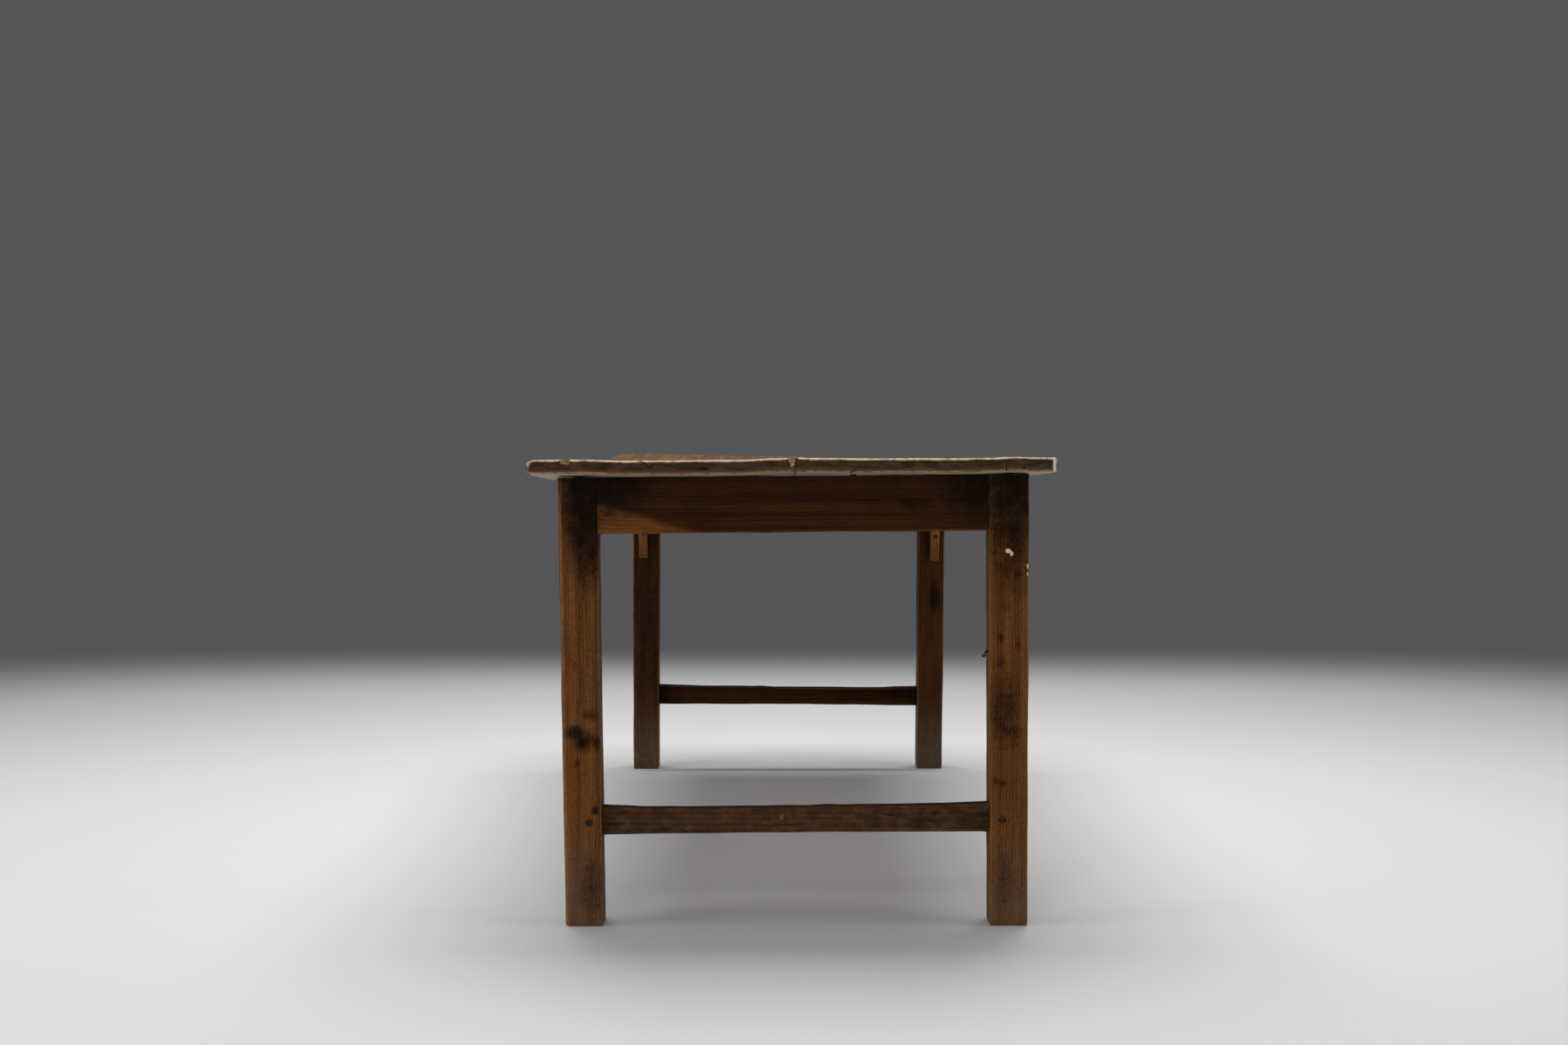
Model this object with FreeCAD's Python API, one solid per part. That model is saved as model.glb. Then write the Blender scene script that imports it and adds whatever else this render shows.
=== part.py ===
# Farmhouse table: two wide boards on a pegged mortise and tenon frame.
# Millimetres. X runs across the table, Y along it and Z up. The origin is on the
# floor under the middle of the top, and the front end is the one at -Y.

import FreeCAD, Part
import math
import os

Vector = FreeCAD.Vector
ACROSS = Vector(1, 0, 0)
ALONG = Vector(0, 1, 0)
UP = Vector(0, 0, 1)

# Top boards
top_length = 1960.0
top_width = 847.0
board_thickness = 25.0
board_joint_x = 5.0
underside_height = 734.0
# The old boards have moved: heights of the underside at both ends, measured from
# underside_height, and the sag half way along, at each edge and at the joint.
warp = {
    "left": {"front": -3.0, "rear": 3.0, "sag": 19.0},
    "joint": {"front": 0.0, "rear": 1.0, "sag": 13.0},
    "right": {"front": 4.0, "rear": -8.0, "sag": 10.0},
}

# Legs
leg_head = 64.0
leg_foot = 61.0
end_overhang = 61.5
side_overhang = 48.0
frame_shift = 8.0
leg_lean = {
    ("front", "left"): -9.5,
    ("front", "right"): -1.7,
    ("rear", "left"): 1.1,
    ("rear", "right"): 5.8,
}
leg_trim = 40.0

# Aprons
apron_height = 92.0
end_apron_thickness = 24.0
end_apron_setback = 3.0
side_apron_thickness = 21.0
side_apron_inset = 16.0

# Cross stretchers: height of the underside at the two legs of each end
stretcher_height = 43.0
stretcher_thickness = 29.0
stretcher_rise = {
    ("front", "left"): 147.5,
    ("front", "right"): 152.0,
    ("rear", "left"): 158.0,
    ("rear", "right"): 153.0,
}

# Cross bearers under the boards
bearer_width = 70.0
bearer_depth = 42.0
bearer_spacing = 660.0
bearer_mortise_wall = 8.0
bearer_tenon_width = 46.0
bearer_tenon_height = 20.0

# Corner brackets
bracket_reach = 105.0
bracket_drop = 125.0
bracket_toe = 14.0
bracket_lip = 14.0
bracket_hollow = 22.0

# Tenons
mortise_wall = 26.0
tenon_root = 10.0
apron_tenon_thickness = 9.0
apron_tenon_haunch = 22.0
apron_tenon_shoulder = 12.0
stretcher_tenon_thickness = 12.0
stretcher_tenon_shoulder = 6.0

# Pegs, dowels and the plug
peg_depth = 45.0
peg_proud = 1.0
apron_peg_radius = 5.5
apron_peg_inset = 15.0
end_apron_peg_edge = 12.0
side_apron_peg_edge = 18.0
stretcher_peg_radius = 6.5
stretcher_peg_inset = 20.0
top_peg_radius = 5.0
top_peg_depth = 38.0
top_peg_proud = 0.5
top_peg_joint_offset = 95.0
top_peg_leg_offset = 60.0
side_top_peg_pitch = 560.0
dowel_radius = 6.0
dowel_length = 90.0
dowel_pitch = 300.0
dowel_count = 6
plug_radius = 3.2
plug_length = 24.0
plug_proud = 4.0
plug_x = -16.0
plug_rise = 26.0

# Iron
nail_radius = 2.0
nail_head_radius = 5.0
nail_head_thickness = 2.4
nail_grip = 30.0
leg_nail_rise = 60.0
apron_nail_edge = 21.0
hook_radius = 1.3
hook_height = 445.0
hook_shank = 26.0
hook_bend = 2.2
hook_drop = 4.0

# Clearances
seat_gap = 0.3
tenon_gap = 0.25
peg_gap = 0.1

SIDES = {"left": -1, "right": 1}
ENDS = {"front": -1, "rear": 1}
CORNERS = [(end, side) for end in ENDS for side in SIDES]
LINE_X = {"left": -top_width / 2, "joint": board_joint_x, "right": top_width / 2}

foot_x = top_width / 2 - side_overhang - leg_foot / 2
leg_y = top_length / 2 - end_overhang - leg_head / 2
apron_middle = underside_height - apron_height / 2
# Height of a layer that reaches well above everything it has to trim
trim_height = leg_trim + board_thickness


def span_box(xs, ys, zs):
    """Box between two values on each axis, given in either order."""
    low = Vector(min(xs), min(ys), min(zs))
    high = Vector(max(xs), max(ys), max(zs))
    size = high - low
    return Part.makeBox(size.x, size.y, size.z, low)


def rod(start, direction, length, radius):
    return Part.makeCylinder(radius, length, start, direction)


def prism(points, direction):
    """Solid swept from a flat polygon along a vector."""
    outline = Part.makePolygon(points + points[:1])
    return Part.Face(outline).extrude(direction)


# Underside of the top

def line_heights(line):
    """Underside of the top at the front, the middle and the rear of one long line."""
    front = underside_height + warp[line]["front"]
    rear = underside_height + warp[line]["rear"]
    return front, (front + rear) / 2 - warp[line]["sag"], rear


def line_height(line, y):
    front, middle, rear = line_heights(line)
    along = 2 * y / top_length
    return middle + (rear - front) / 2 * along + ((front + rear) / 2 - middle) * along ** 2


def underside_at(x, y):
    """Height of the underside of the top over a point of the floor."""
    outer = "left" if x < board_joint_x else "right"
    share = (x - board_joint_x) / (LINE_X[outer] - board_joint_x)
    joint_height = line_height("joint", y)
    return joint_height + (line_height(outer, y) - joint_height) * share


def layer_profile(line, low, high):
    """Upright outline along one long line, between two heights above the underside."""
    ends = (-top_length / 2, 0.0, top_length / 2)
    heights = line_heights(line)
    lower = [Vector(LINE_X[line], y, z + low) for y, z in zip(ends, heights)]
    upper = [point + Vector(0, 0, high - low) for point in lower]
    edges = [
        Part.Arc(*lower).toShape(),
        Part.makeLine(lower[2], upper[2]),
        Part.Arc(*reversed(upper)).toShape(),
        Part.makeLine(upper[0], lower[0]),
    ]
    return Part.Wire(edges)


def board_layer(side, low, high):
    """The part of one board's plan between two heights above its underside."""
    outlines = [layer_profile(side, low, high), layer_profile("joint", low, high)]
    return Part.makeLoft(outlines, True, True)


def top_layer(low, high):
    return board_layer("left", low, high).fuse(board_layer("right", low, high)).removeSplitter()


# Legs

def leg_centre(end, side, z):
    x = frame_shift + SIDES[side] * foot_x + leg_lean[end, side] * z / underside_height
    return Vector(x, ENDS[end] * leg_y, z)


def leg_half(z):
    return (leg_foot + (leg_head - leg_foot) * z / underside_height) / 2


def leg_inner_x(end, side, z):
    return leg_centre(end, side, z).x - SIDES[side] * leg_half(z)


def leg_outer_x(end, side, z):
    return leg_centre(end, side, z).x + SIDES[side] * leg_half(z)


def leg_inner_y(end, z):
    return ENDS[end] * (leg_y - leg_half(z))


def leg_outer_y(end, z):
    return ENDS[end] * (leg_y + leg_half(z))


def leg_blank(end, side):
    """Leaning, tapering square leg, longer than it will be at the top."""
    sections = []
    for z in (0.0, underside_height + leg_trim):
        half = leg_half(z)
        centre = leg_centre(end, side, z)
        corners = [(-half, -half), (half, -half), (half, half), (-half, half)]
        points = [centre + Vector(dx, dy, 0) for dx, dy in corners]
        sections.append(Part.makePolygon(points + points[:1]))
    return Part.makeLoft(sections, True, True)


def tenon_length(z):
    return 2 * leg_half(z) - mortise_wall


# End aprons

def end_apron_outer_y(end):
    return leg_outer_y(end, apron_middle) - ENDS[end] * end_apron_setback


def end_apron_centre_y(end):
    return end_apron_outer_y(end) - ENDS[end] * end_apron_thickness / 2


def end_tenon(end, side, gap=0.0):
    inner = leg_inner_x(end, side, apron_middle)
    sign = SIDES[side]
    top = underside_at(inner, end_apron_centre_y(end))
    half = apron_tenon_thickness / 2 + gap
    xs = (inner - sign * tenon_root, inner + sign * (tenon_length(apron_middle) + gap))
    ys = (end_apron_centre_y(end) - half, end_apron_centre_y(end) + half)
    zs = (top - apron_height + apron_tenon_shoulder - gap, top - apron_tenon_haunch + gap)
    return span_box(xs, ys, zs)


def end_apron(end, legs):
    y = end_apron_outer_y(end)
    xs = [leg_centre(end, side, apron_middle).x for side in SIDES]
    zs = (underside_height - 2 * apron_height, underside_height + leg_trim)
    blank = span_box(xs, (y, y - ENDS[end] * end_apron_thickness), zs)
    blank = blank.common(top_layer(-apron_height, -seat_gap))
    blank = blank.cut([legs[end, side] for side in SIDES])
    return blank.fuse([end_tenon(end, side) for side in SIDES]).removeSplitter()


def end_peg_start(end, side):
    x = leg_inner_x(end, side, apron_middle) + SIDES[side] * apron_peg_inset
    z = underside_at(x, end_apron_centre_y(end)) - apron_tenon_haunch - end_apron_peg_edge
    return Vector(x, leg_outer_y(end, z), z)


def end_apron_peg(end, side, gap=0.0):
    outward = ALONG * ENDS[end]
    start = end_peg_start(end, side) + outward * peg_proud
    return rod(start, outward * -1, peg_depth + peg_proud + gap, apron_peg_radius + gap)


# Side aprons

def side_apron_x(side, y):
    """Outer face of a side apron, which runs from leg to leg."""
    faces = [leg_outer_x(end, side, apron_middle) for end in ENDS]
    share = (y + leg_y) / (2 * leg_y)
    return faces[0] + (faces[1] - faces[0]) * share - SIDES[side] * side_apron_inset


def side_apron_centre_x(side, y):
    return side_apron_x(side, y) - SIDES[side] * side_apron_thickness / 2


def side_apron_plan(side):
    """Upright slab over the plan of a side apron, from the floor to above the top."""
    inward = -SIDES[side] * side_apron_thickness
    ys = (-leg_y, leg_y)
    outer = [Vector(side_apron_x(side, y), y, 0) for y in ys]
    inner = [point + Vector(inward, 0, 0) for point in reversed(outer)]
    return prism(outer + inner, UP * (underside_height + leg_trim))


def side_tenon(end, side, gap=0.0):
    face = leg_inner_y(end, apron_middle)
    sign = ENDS[end]
    x = side_apron_centre_x(side, face)
    top = underside_at(x, face)
    half = apron_tenon_thickness / 2 + gap
    ys = (face - sign * tenon_root, face + sign * (tenon_length(apron_middle) + gap))
    zs = (top - apron_height + apron_tenon_shoulder - gap, top - apron_tenon_haunch + gap)
    return span_box((x - half, x + half), ys, zs)


def side_apron(side, legs):
    blank = side_apron_plan(side).common(top_layer(-apron_height, -seat_gap))
    blank = blank.cut([legs[end, side] for end in ENDS])
    return blank.fuse([side_tenon(end, side) for end in ENDS]).removeSplitter()


def side_apron_peg(end, side, gap=0.0):
    outward = ACROSS * SIDES[side]
    y = leg_inner_y(end, apron_middle) + ENDS[end] * apron_peg_inset
    tenon_bottom = underside_at(side_apron_centre_x(side, y), y) - apron_height + apron_tenon_shoulder
    z = tenon_bottom + side_apron_peg_edge
    start = Vector(leg_outer_x(end, side, z), y, z) + outward * peg_proud
    return rod(start, outward * -1, peg_depth + peg_proud + gap, apron_peg_radius + gap)


# Cross stretchers

def stretcher_bottom(end, x):
    """Underside of a stretcher, which tilts a little from leg to leg."""
    left, right = [leg_centre(end, side, stretcher_rise[end, side]).x for side in SIDES]
    low, high = [stretcher_rise[end, side] for side in SIDES]
    return low + (high - low) * (x - left) / (right - left)


def stretcher_tenon(end, side, gap=0.0):
    middle = stretcher_rise[end, side] + stretcher_height / 2
    inner = leg_inner_x(end, side, middle)
    sign = SIDES[side]
    y = ENDS[end] * leg_y
    half = stretcher_tenon_thickness / 2 + gap
    low = stretcher_bottom(end, inner) + stretcher_tenon_shoulder
    high = low + stretcher_height - 2 * stretcher_tenon_shoulder
    xs = (inner - sign * tenon_root, inner + sign * (tenon_length(middle) + gap))
    return span_box(xs, (y - half, y + half), (low - gap, high + gap))


def stretcher(end, legs):
    y = ENDS[end] * leg_y - stretcher_thickness / 2
    xs = [leg_centre(end, side, stretcher_rise[end, side]).x for side in SIDES]
    lower = [Vector(x, y, stretcher_bottom(end, x)) for x in xs]
    upper = [point + UP * stretcher_height for point in reversed(lower)]
    blank = prism(lower + upper, ALONG * stretcher_thickness)
    blank = blank.cut([legs[end, side] for side in SIDES])
    return blank.fuse([stretcher_tenon(end, side) for side in SIDES]).removeSplitter()


def stretcher_peg(end, side, gap=0.0):
    outward = ALONG * ENDS[end]
    z = stretcher_rise[end, side] + stretcher_height / 2
    x = leg_inner_x(end, side, z) + SIDES[side] * stretcher_peg_inset
    start = Vector(x, leg_outer_y(end, z), z) + outward * peg_proud
    return rod(start, outward * -1, peg_depth + peg_proud + gap, stretcher_peg_radius + gap)


def stretcher_plug(gap=0.0):
    face = -leg_y - stretcher_thickness / 2
    start = Vector(plug_x, face - plug_proud, stretcher_bottom("front", plug_x) + plug_rise)
    return rod(start, ALONG, plug_length + gap, plug_radius + gap)


# Cross bearers

def bearer_y(end):
    return ENDS[end] * bearer_spacing / 2


def bearer_tenon(end, side, gap=0.0):
    y = bearer_y(end)
    sign = SIDES[side]
    face = side_apron_x(side, y) - sign * side_apron_thickness
    middle = underside_at(face, y) - bearer_depth / 2
    length = side_apron_thickness - bearer_mortise_wall
    xs = (face - sign * tenon_root, face + sign * (length + gap))
    width = bearer_tenon_width / 2 + gap
    height = bearer_tenon_height / 2 + gap
    return span_box(xs, (y - width, y + width), (middle - height, middle + height))


def bearer(end):
    y = bearer_y(end)
    xs = [side_apron_centre_x(side, y) for side in SIDES]
    zs = (underside_height - 2 * apron_height, underside_height + leg_trim)
    blank = span_box(xs, (y - bearer_width / 2, y + bearer_width / 2), zs)
    blank = blank.common(top_layer(-bearer_depth, -seat_gap))
    blank = blank.cut([side_apron_plan(side) for side in SIDES])
    return blank.fuse([bearer_tenon(end, side) for side in SIDES]).removeSplitter()


# Corner brackets

def bracket_frame(end, side):
    """Corner under the apron that a bracket fills, and the direction it reaches in."""
    face = leg_inner_y(end, apron_middle - apron_height)
    x = side_apron_centre_x(side, face)
    return Vector(x, face, underside_at(x, face) - apron_height), -ENDS[end]


def bracket_ends(end, side):
    """Toe and lip of a bracket, where its hollow lower edge starts and stops."""
    corner, inward = bracket_frame(end, side)
    toe = corner + Vector(0, inward * bracket_toe, -bracket_drop)
    lip = corner + Vector(0, inward * bracket_reach, -bracket_lip)
    return toe, lip


def bracket_curve(end, side):
    toe, lip = bracket_ends(end, side)
    chord = lip - toe
    normal = Vector(0, -chord.y / abs(chord.y) * chord.z, abs(chord.y)).normalize()
    return Part.Arc(toe, (toe + lip) / 2 + normal * bracket_hollow, lip).toShape()


def curve_point(end, side, rise=None, reach=None):
    """Point of the hollow edge at a height above the toe, or at a reach from the leg."""
    corner, inward = bracket_frame(end, side)
    circle = bracket_curve(end, side).Curve
    centre, radius = circle.Center, circle.Radius
    if rise is not None:
        z = corner.z - bracket_drop + rise
        y = centre.y - inward * math.sqrt(radius ** 2 - (z - centre.z) ** 2)
    else:
        y = corner.y + inward * reach
        z = centre.z + math.sqrt(radius ** 2 - (y - centre.y) ** 2)
    return Vector(corner.x, y, z)


def bracket(end, side, legs):
    corner, inward = bracket_frame(end, side)
    toe, lip = bracket_ends(end, side)
    behind = corner - ALONG * inward * leg_half(0)
    low = Vector(corner.x, behind.y, toe.z)
    high = Vector(corner.x, behind.y, corner.z + apron_height / 2)
    over = Vector(corner.x, lip.y, high.z)
    corners = [lip, over, high, low, toe]
    edges = [Part.makeLine(a, b) for a, b in zip(corners, corners[1:])]
    face = Part.Face(Part.Wire([bracket_curve(end, side)] + edges))
    face.translate(ACROSS * -side_apron_thickness)
    blank = face.extrude(ACROSS * 2 * side_apron_thickness).common(side_apron_plan(side))
    return blank.cut([top_layer(-apron_height - seat_gap, trim_height), legs[end, side]])


def nail(point, inward, length, gap):
    """Nail through a point of the hollow edge, with its head let into the edge."""
    start = point - inward * nail_head_thickness
    head = rod(start, inward, 2 * nail_head_thickness, nail_head_radius + gap)
    return head.fuse(rod(point, inward, length + gap, nail_radius + gap)).removeSplitter()


def bracket_nails(end, side, gap=0.0):
    """One nail into the leg and one up into the apron."""
    corner, inward = bracket_frame(end, side)
    leg_point = curve_point(end, side, rise=leg_nail_rise)
    apron_point = curve_point(end, side, reach=bracket_reach - apron_nail_edge)
    leg_length = abs(leg_point.y - corner.y) + nail_grip
    apron_length = corner.z - apron_point.z + nail_grip
    return [
        nail(leg_point, ALONG * -inward, leg_length, gap),
        nail(apron_point, UP, apron_length, gap),
    ]


# Hook on the right front leg

def hook():
    """Bent wire hook whose shank is driven into the inner face of the leg."""
    face = leg_inner_x("front", "right", hook_height)
    start = Vector(face + hook_shank, -leg_y, hook_height)
    out = Vector(face - hook_bend, -leg_y, hook_height)
    side_point = out + Vector(-hook_bend, 0, -hook_bend)
    low = side_point - UP * hook_drop
    tip = low - ACROSS * 2 * hook_bend
    diagonal = hook_bend * math.sqrt(0.5)
    first = Part.Arc(out, out + Vector(-diagonal, 0, diagonal - hook_bend), side_point)
    second = Part.Arc(low, low - Vector(hook_bend, 0, hook_bend), tip)
    path = Part.Wire([
        Part.makeLine(start, out),
        first.toShape(),
        Part.makeLine(side_point, low),
        second.toShape(),
        Part.makeLine(tip, tip + UP * hook_bend),
    ])
    section = Part.Wire(Part.makeCircle(hook_radius, start, ACROSS))
    return path.makePipeShell([section], True, False)


def hook_hole():
    face = leg_inner_x("front", "right", hook_height)
    start = Vector(face + hook_shank + peg_gap, -leg_y, hook_height)
    return rod(start, ACROSS * -1, hook_shank + hook_bend, hook_radius + peg_gap)


# Pegs and dowels of the top

def top_peg_places():
    """Plan positions of the pegs that hold the boards down."""
    joint_xs = [board_joint_x + sign * top_peg_joint_offset for sign in SIDES.values()]
    places = []
    for end in ENDS:
        leg_xs = [
            leg_inner_x(end, side, underside_height) - sign * top_peg_leg_offset
            for side, sign in SIDES.items()
        ]
        for x in joint_xs + leg_xs:
            places.append((x, end_apron_centre_y(end)))
            places.append((x, bearer_y(end)))
    for side in SIDES:
        for step in (-1, 0, 1):
            y = step * side_top_peg_pitch
            places.append((side_apron_centre_x(side, y), y))
    return places


def top_peg(x, y, gap=0.0):
    bottom = underside_at(x, y) - top_peg_depth - gap
    length = top_peg_depth + trim_height + gap
    return rod(Vector(x, y, bottom), UP, length, top_peg_radius + gap)


def edge_dowel(y, gap=0.0):
    z = line_height("joint", y) + board_thickness / 2
    start = Vector(board_joint_x - dowel_length / 2 - gap, y, z)
    return rod(start, ACROSS, dowel_length + 2 * gap, dowel_radius + gap)


# Assembly

def holes_in_leg(end, side):
    """Mortises and peg, nail and hook holes of one leg."""
    holes = [
        end_tenon(end, side, tenon_gap),
        side_tenon(end, side, tenon_gap),
        stretcher_tenon(end, side, tenon_gap),
        end_apron_peg(end, side, peg_gap),
        side_apron_peg(end, side, peg_gap),
        stretcher_peg(end, side, peg_gap),
    ]
    holes += bracket_nails(end, side, peg_gap)
    if (end, side) == ("front", "right"):
        holes.append(hook_hole())
    return holes


def main():
    trim = top_layer(-seat_gap, trim_height)
    blanks = {corner: leg_blank(*corner).cut(trim) for corner in CORNERS}
    peg_places = top_peg_places()
    peg_holes = [top_peg(x, y, peg_gap) for x, y in peg_places]
    dowel_ys = [(i - (dowel_count - 1) / 2) * dowel_pitch for i in range(dowel_count)]
    dowel_holes = [edge_dowel(y, peg_gap) for y in dowel_ys]
    above_pegs = top_layer(board_thickness + top_peg_proud, 2 * trim_height)

    nodes = {}
    for side in SIDES:
        board = board_layer(side, 0.0, board_thickness)
        nodes["top_board_" + side] = board.cut(peg_holes + dowel_holes)
        holes = [side_apron_peg(end, side, peg_gap) for end in ENDS]
        holes += [bearer_tenon(end, side, tenon_gap) for end in ENDS]
        holes += [hole for end in ENDS for hole in bracket_nails(end, side, peg_gap)]
        nodes["side_apron_" + side] = side_apron(side, blanks).cut(holes + peg_holes)
    for end in ENDS:
        holes = [end_apron_peg(end, side, peg_gap) for side in SIDES]
        nodes["end_apron_" + end] = end_apron(end, blanks).cut(holes + peg_holes)
        holes = [stretcher_peg(end, side, peg_gap) for side in SIDES]
        nodes["stretcher_" + end] = stretcher(end, blanks).cut(holes)
        nodes["bearer_" + end] = bearer(end).cut(peg_holes)
    for end, side in CORNERS:
        nodes["leg_%s_%s" % (end, side)] = blanks[end, side].cut(holes_in_leg(end, side))
        shape = bracket(end, side, blanks).cut(bracket_nails(end, side, peg_gap))
        nodes["bracket_%s_%s" % (end, side)] = shape

    groups = {
        "end_apron_pegs": [end_apron_peg(*corner) for corner in CORNERS],
        "side_apron_pegs": [side_apron_peg(*corner) for corner in CORNERS],
        "stretcher_pegs": [stretcher_peg(*corner) for corner in CORNERS],
        "top_pegs": [top_peg(x, y).cut(above_pegs) for x, y in peg_places],
        "edge_dowels": [edge_dowel(y) for y in dowel_ys],
        "bracket_nails": [one for corner in CORNERS for one in bracket_nails(*corner)],
    }
    for name, shapes in groups.items():
        nodes[name] = Part.makeCompound(shapes)
    nodes["stretcher_front"] = nodes["stretcher_front"].cut(stretcher_plug(peg_gap))
    nodes["stretcher_plug"] = stretcher_plug()
    nodes["leg_hook"] = hook()

    os.makedirs("parts", exist_ok=True)
    for name, shape in nodes.items():
        shape.exportStep("parts/%s.step" % name)
        print(name, len(shape.Solids), "solids", round(shape.Volume / 1000), "cm3", shape.isValid())


main()
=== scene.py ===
"""Looks of an old farmhouse table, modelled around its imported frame.

Metres. X runs across the table, Y along it and Z up; the front end is the one at -Y.
"""

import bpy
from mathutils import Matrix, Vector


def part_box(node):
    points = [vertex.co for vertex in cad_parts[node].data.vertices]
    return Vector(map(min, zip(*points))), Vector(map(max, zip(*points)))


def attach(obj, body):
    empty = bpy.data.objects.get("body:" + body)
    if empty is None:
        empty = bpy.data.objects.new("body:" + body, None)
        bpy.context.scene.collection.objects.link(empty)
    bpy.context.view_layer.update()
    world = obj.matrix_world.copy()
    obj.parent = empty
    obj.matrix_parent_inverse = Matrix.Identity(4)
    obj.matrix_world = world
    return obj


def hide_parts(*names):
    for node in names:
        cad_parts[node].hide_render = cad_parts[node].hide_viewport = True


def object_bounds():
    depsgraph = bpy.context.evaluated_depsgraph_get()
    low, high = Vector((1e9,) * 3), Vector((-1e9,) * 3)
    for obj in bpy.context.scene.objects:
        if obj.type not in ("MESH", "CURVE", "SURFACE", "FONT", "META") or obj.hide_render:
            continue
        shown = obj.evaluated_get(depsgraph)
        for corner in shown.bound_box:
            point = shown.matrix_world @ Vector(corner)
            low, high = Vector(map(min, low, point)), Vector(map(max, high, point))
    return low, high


bl_info = {
    "name": "Farmhouse table",
    "version": (1, 0, 0),
    "blender": (4, 5, 0),
    "location": "View3D > Sidebar > Table",
    "description": "Models an old plank-top table on a pegged frame",
    "category": "Object",
}

import contextlib
import math

import bmesh
import bpy
from mathutils import Vector, noise

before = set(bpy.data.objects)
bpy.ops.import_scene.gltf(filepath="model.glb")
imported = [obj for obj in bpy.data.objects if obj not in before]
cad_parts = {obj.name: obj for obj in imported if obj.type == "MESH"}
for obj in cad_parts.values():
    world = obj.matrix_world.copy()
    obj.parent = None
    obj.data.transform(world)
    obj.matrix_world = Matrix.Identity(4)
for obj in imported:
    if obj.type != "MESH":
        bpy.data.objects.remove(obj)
CAD_LOW, CAD_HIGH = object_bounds()
BODY = "root"
X, Y, Z = range(3)
MM = 0.001
SIDES = {"left": -1, "right": 1}
ENDS = {"front": -1, "rear": 1}
CORNERS = [(end, side) for end in ENDS for side in SIDES]
MERGE_DISTANCE = 0.01 * MM


# Places read from the frame

def cad_corner(node, toward):
    """Corner of a frame node that lies farthest in a direction."""
    direction = Vector(toward)
    points = [vertex.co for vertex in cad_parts[node].data.vertices]
    return max(points, key=direction.dot).copy()


def node_middle(node):
    low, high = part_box(node)
    return (low + high) / 2


def ray_height(node, x, y):
    """Height at which a ray from the floor meets a frame node."""
    below = Vector((x, y, -1.0))
    hit, place, _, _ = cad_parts[node].ray_cast(below, Vector((0.0, 0.0, 1.0)))
    if not hit:
        raise RuntimeError("no height on %s at %.3f, %.3f" % (node, x, y))
    return place.z


JOINT_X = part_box("top_board_left")[1].x
# The underside of the top is measured this far inside the edges of the boards
INSET = 2 * MM
STATION_Y = CAD_HIGH.y - INSET
LINES = {
    "left": ("top_board_left", CAD_LOW.x + INSET),
    "joint": ("top_board_right", JOINT_X + INSET),
    "right": ("top_board_right", CAD_HIGH.x - INSET),
}
HEIGHTS = {
    line: [ray_height(node, x, y) for y in (-STATION_Y, 0.0, STATION_Y)]
    for line, (node, x) in LINES.items()
}
UPPER_CORNER = cad_corner("top_board_left", (-1, -1, 1))
LOWER_CORNER = cad_corner("top_board_left", (-1, -1, -1))
BOARD_THICKNESS = UPPER_CORNER.z - LOWER_CORNER.z


def line_height(line, y):
    """Underside of the top along one of the three measured lines."""
    front, middle, rear = HEIGHTS[line]
    along = y / STATION_Y
    return middle + (rear - front) / 2 * along + ((front + rear) / 2 - middle) * along ** 2


def underside(x, y):
    """Height of the underside of the top over a point of the floor."""
    outer = "left" if x < JOINT_X else "right"
    share = (x - JOINT_X) / (LINES[outer][1] - JOINT_X)
    joint = line_height("joint", y)
    return joint + (line_height(outer, y) - joint) * share


def loose_boxes(node):
    """Lowest and highest corners of each separate solid of a frame node."""
    mesh = bmesh.new()
    mesh.from_mesh(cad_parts[node].data)
    bmesh.ops.remove_doubles(mesh, verts=mesh.verts, dist=MERGE_DISTANCE)
    boxes = []
    waiting = set(mesh.verts)
    while waiting:
        island = []
        front = [waiting.pop()]
        while front:
            vertex = front.pop()
            island.append(vertex.co.copy())
            near = {edge.other_vert(vertex) for edge in vertex.link_edges} & waiting
            waiting -= near
            front.extend(near)
        low = Vector(min(point[i] for point in island) for i in range(3))
        high = Vector(max(point[i] for point in island) for i in range(3))
        boxes.append((low, high))
    mesh.free()
    return sorted(boxes, key=lambda box: tuple(round(value, 4) for value in box[0]))


# Sizes and colours that a user would change

def length(label, about, value):
    return bpy.props.FloatProperty(
        name=label, description=about, default=value, unit="LENGTH", subtype="DISTANCE", precision=5
    )


def angle(label, about, value):
    return bpy.props.FloatProperty(
        name=label, description=about, default=value, unit="ROTATION", subtype="ANGLE"
    )


def colour(label, about, value):
    return bpy.props.FloatVectorProperty(
        name=label, description=about, default=value, size=3, subtype="COLOR", min=0.0, max=1.0
    )


class TableSizes(bpy.types.PropertyGroup):
    """Wear and hand work of the table."""

    nosing: length("Nosing", "Rounding of the edges of the top", 6.0 * MM)
    board_corner: length("Board corner", "Rounding of the outer corners of the top in plan", 12 * MM)
    left_taper: length("Left taper", "How far in the left edge of the top is thinned", 17 * MM)
    joint_gap: length("Joint gap", "Opening between the two boards", 0.1 * MM)
    front_thinning: length("Front thinning", "How much thinner the top is at its front edge", 1.6 * MM)
    board_wave: length("Board wave", "Height of the waves in the faces of the top", 0.6 * MM)
    arris: length("Arris", "Rounding of the worn edges of the frame", 3.2 * MM)
    worn_corner: length("Worn corner", "Width of the worn outer corner of the front left leg", 9 * MM)
    foot_arris: length("Foot arris", "Rounding under the feet", 2.5 * MM)
    wave: length("Wave", "Height of the waves that the hand plane left", 1.3 * MM)
    nick: length("Nick", "Depth of the nicks along worn edges", 0.7 * MM)
    fine_nick: length("Fine nick", "Depth of the nicks in the top and the brackets", 0.6 * MM)
    stretcher_swell: length("Stretcher swell", "How much a stretcher thickens at its ends", 1.4 * MM)


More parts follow.
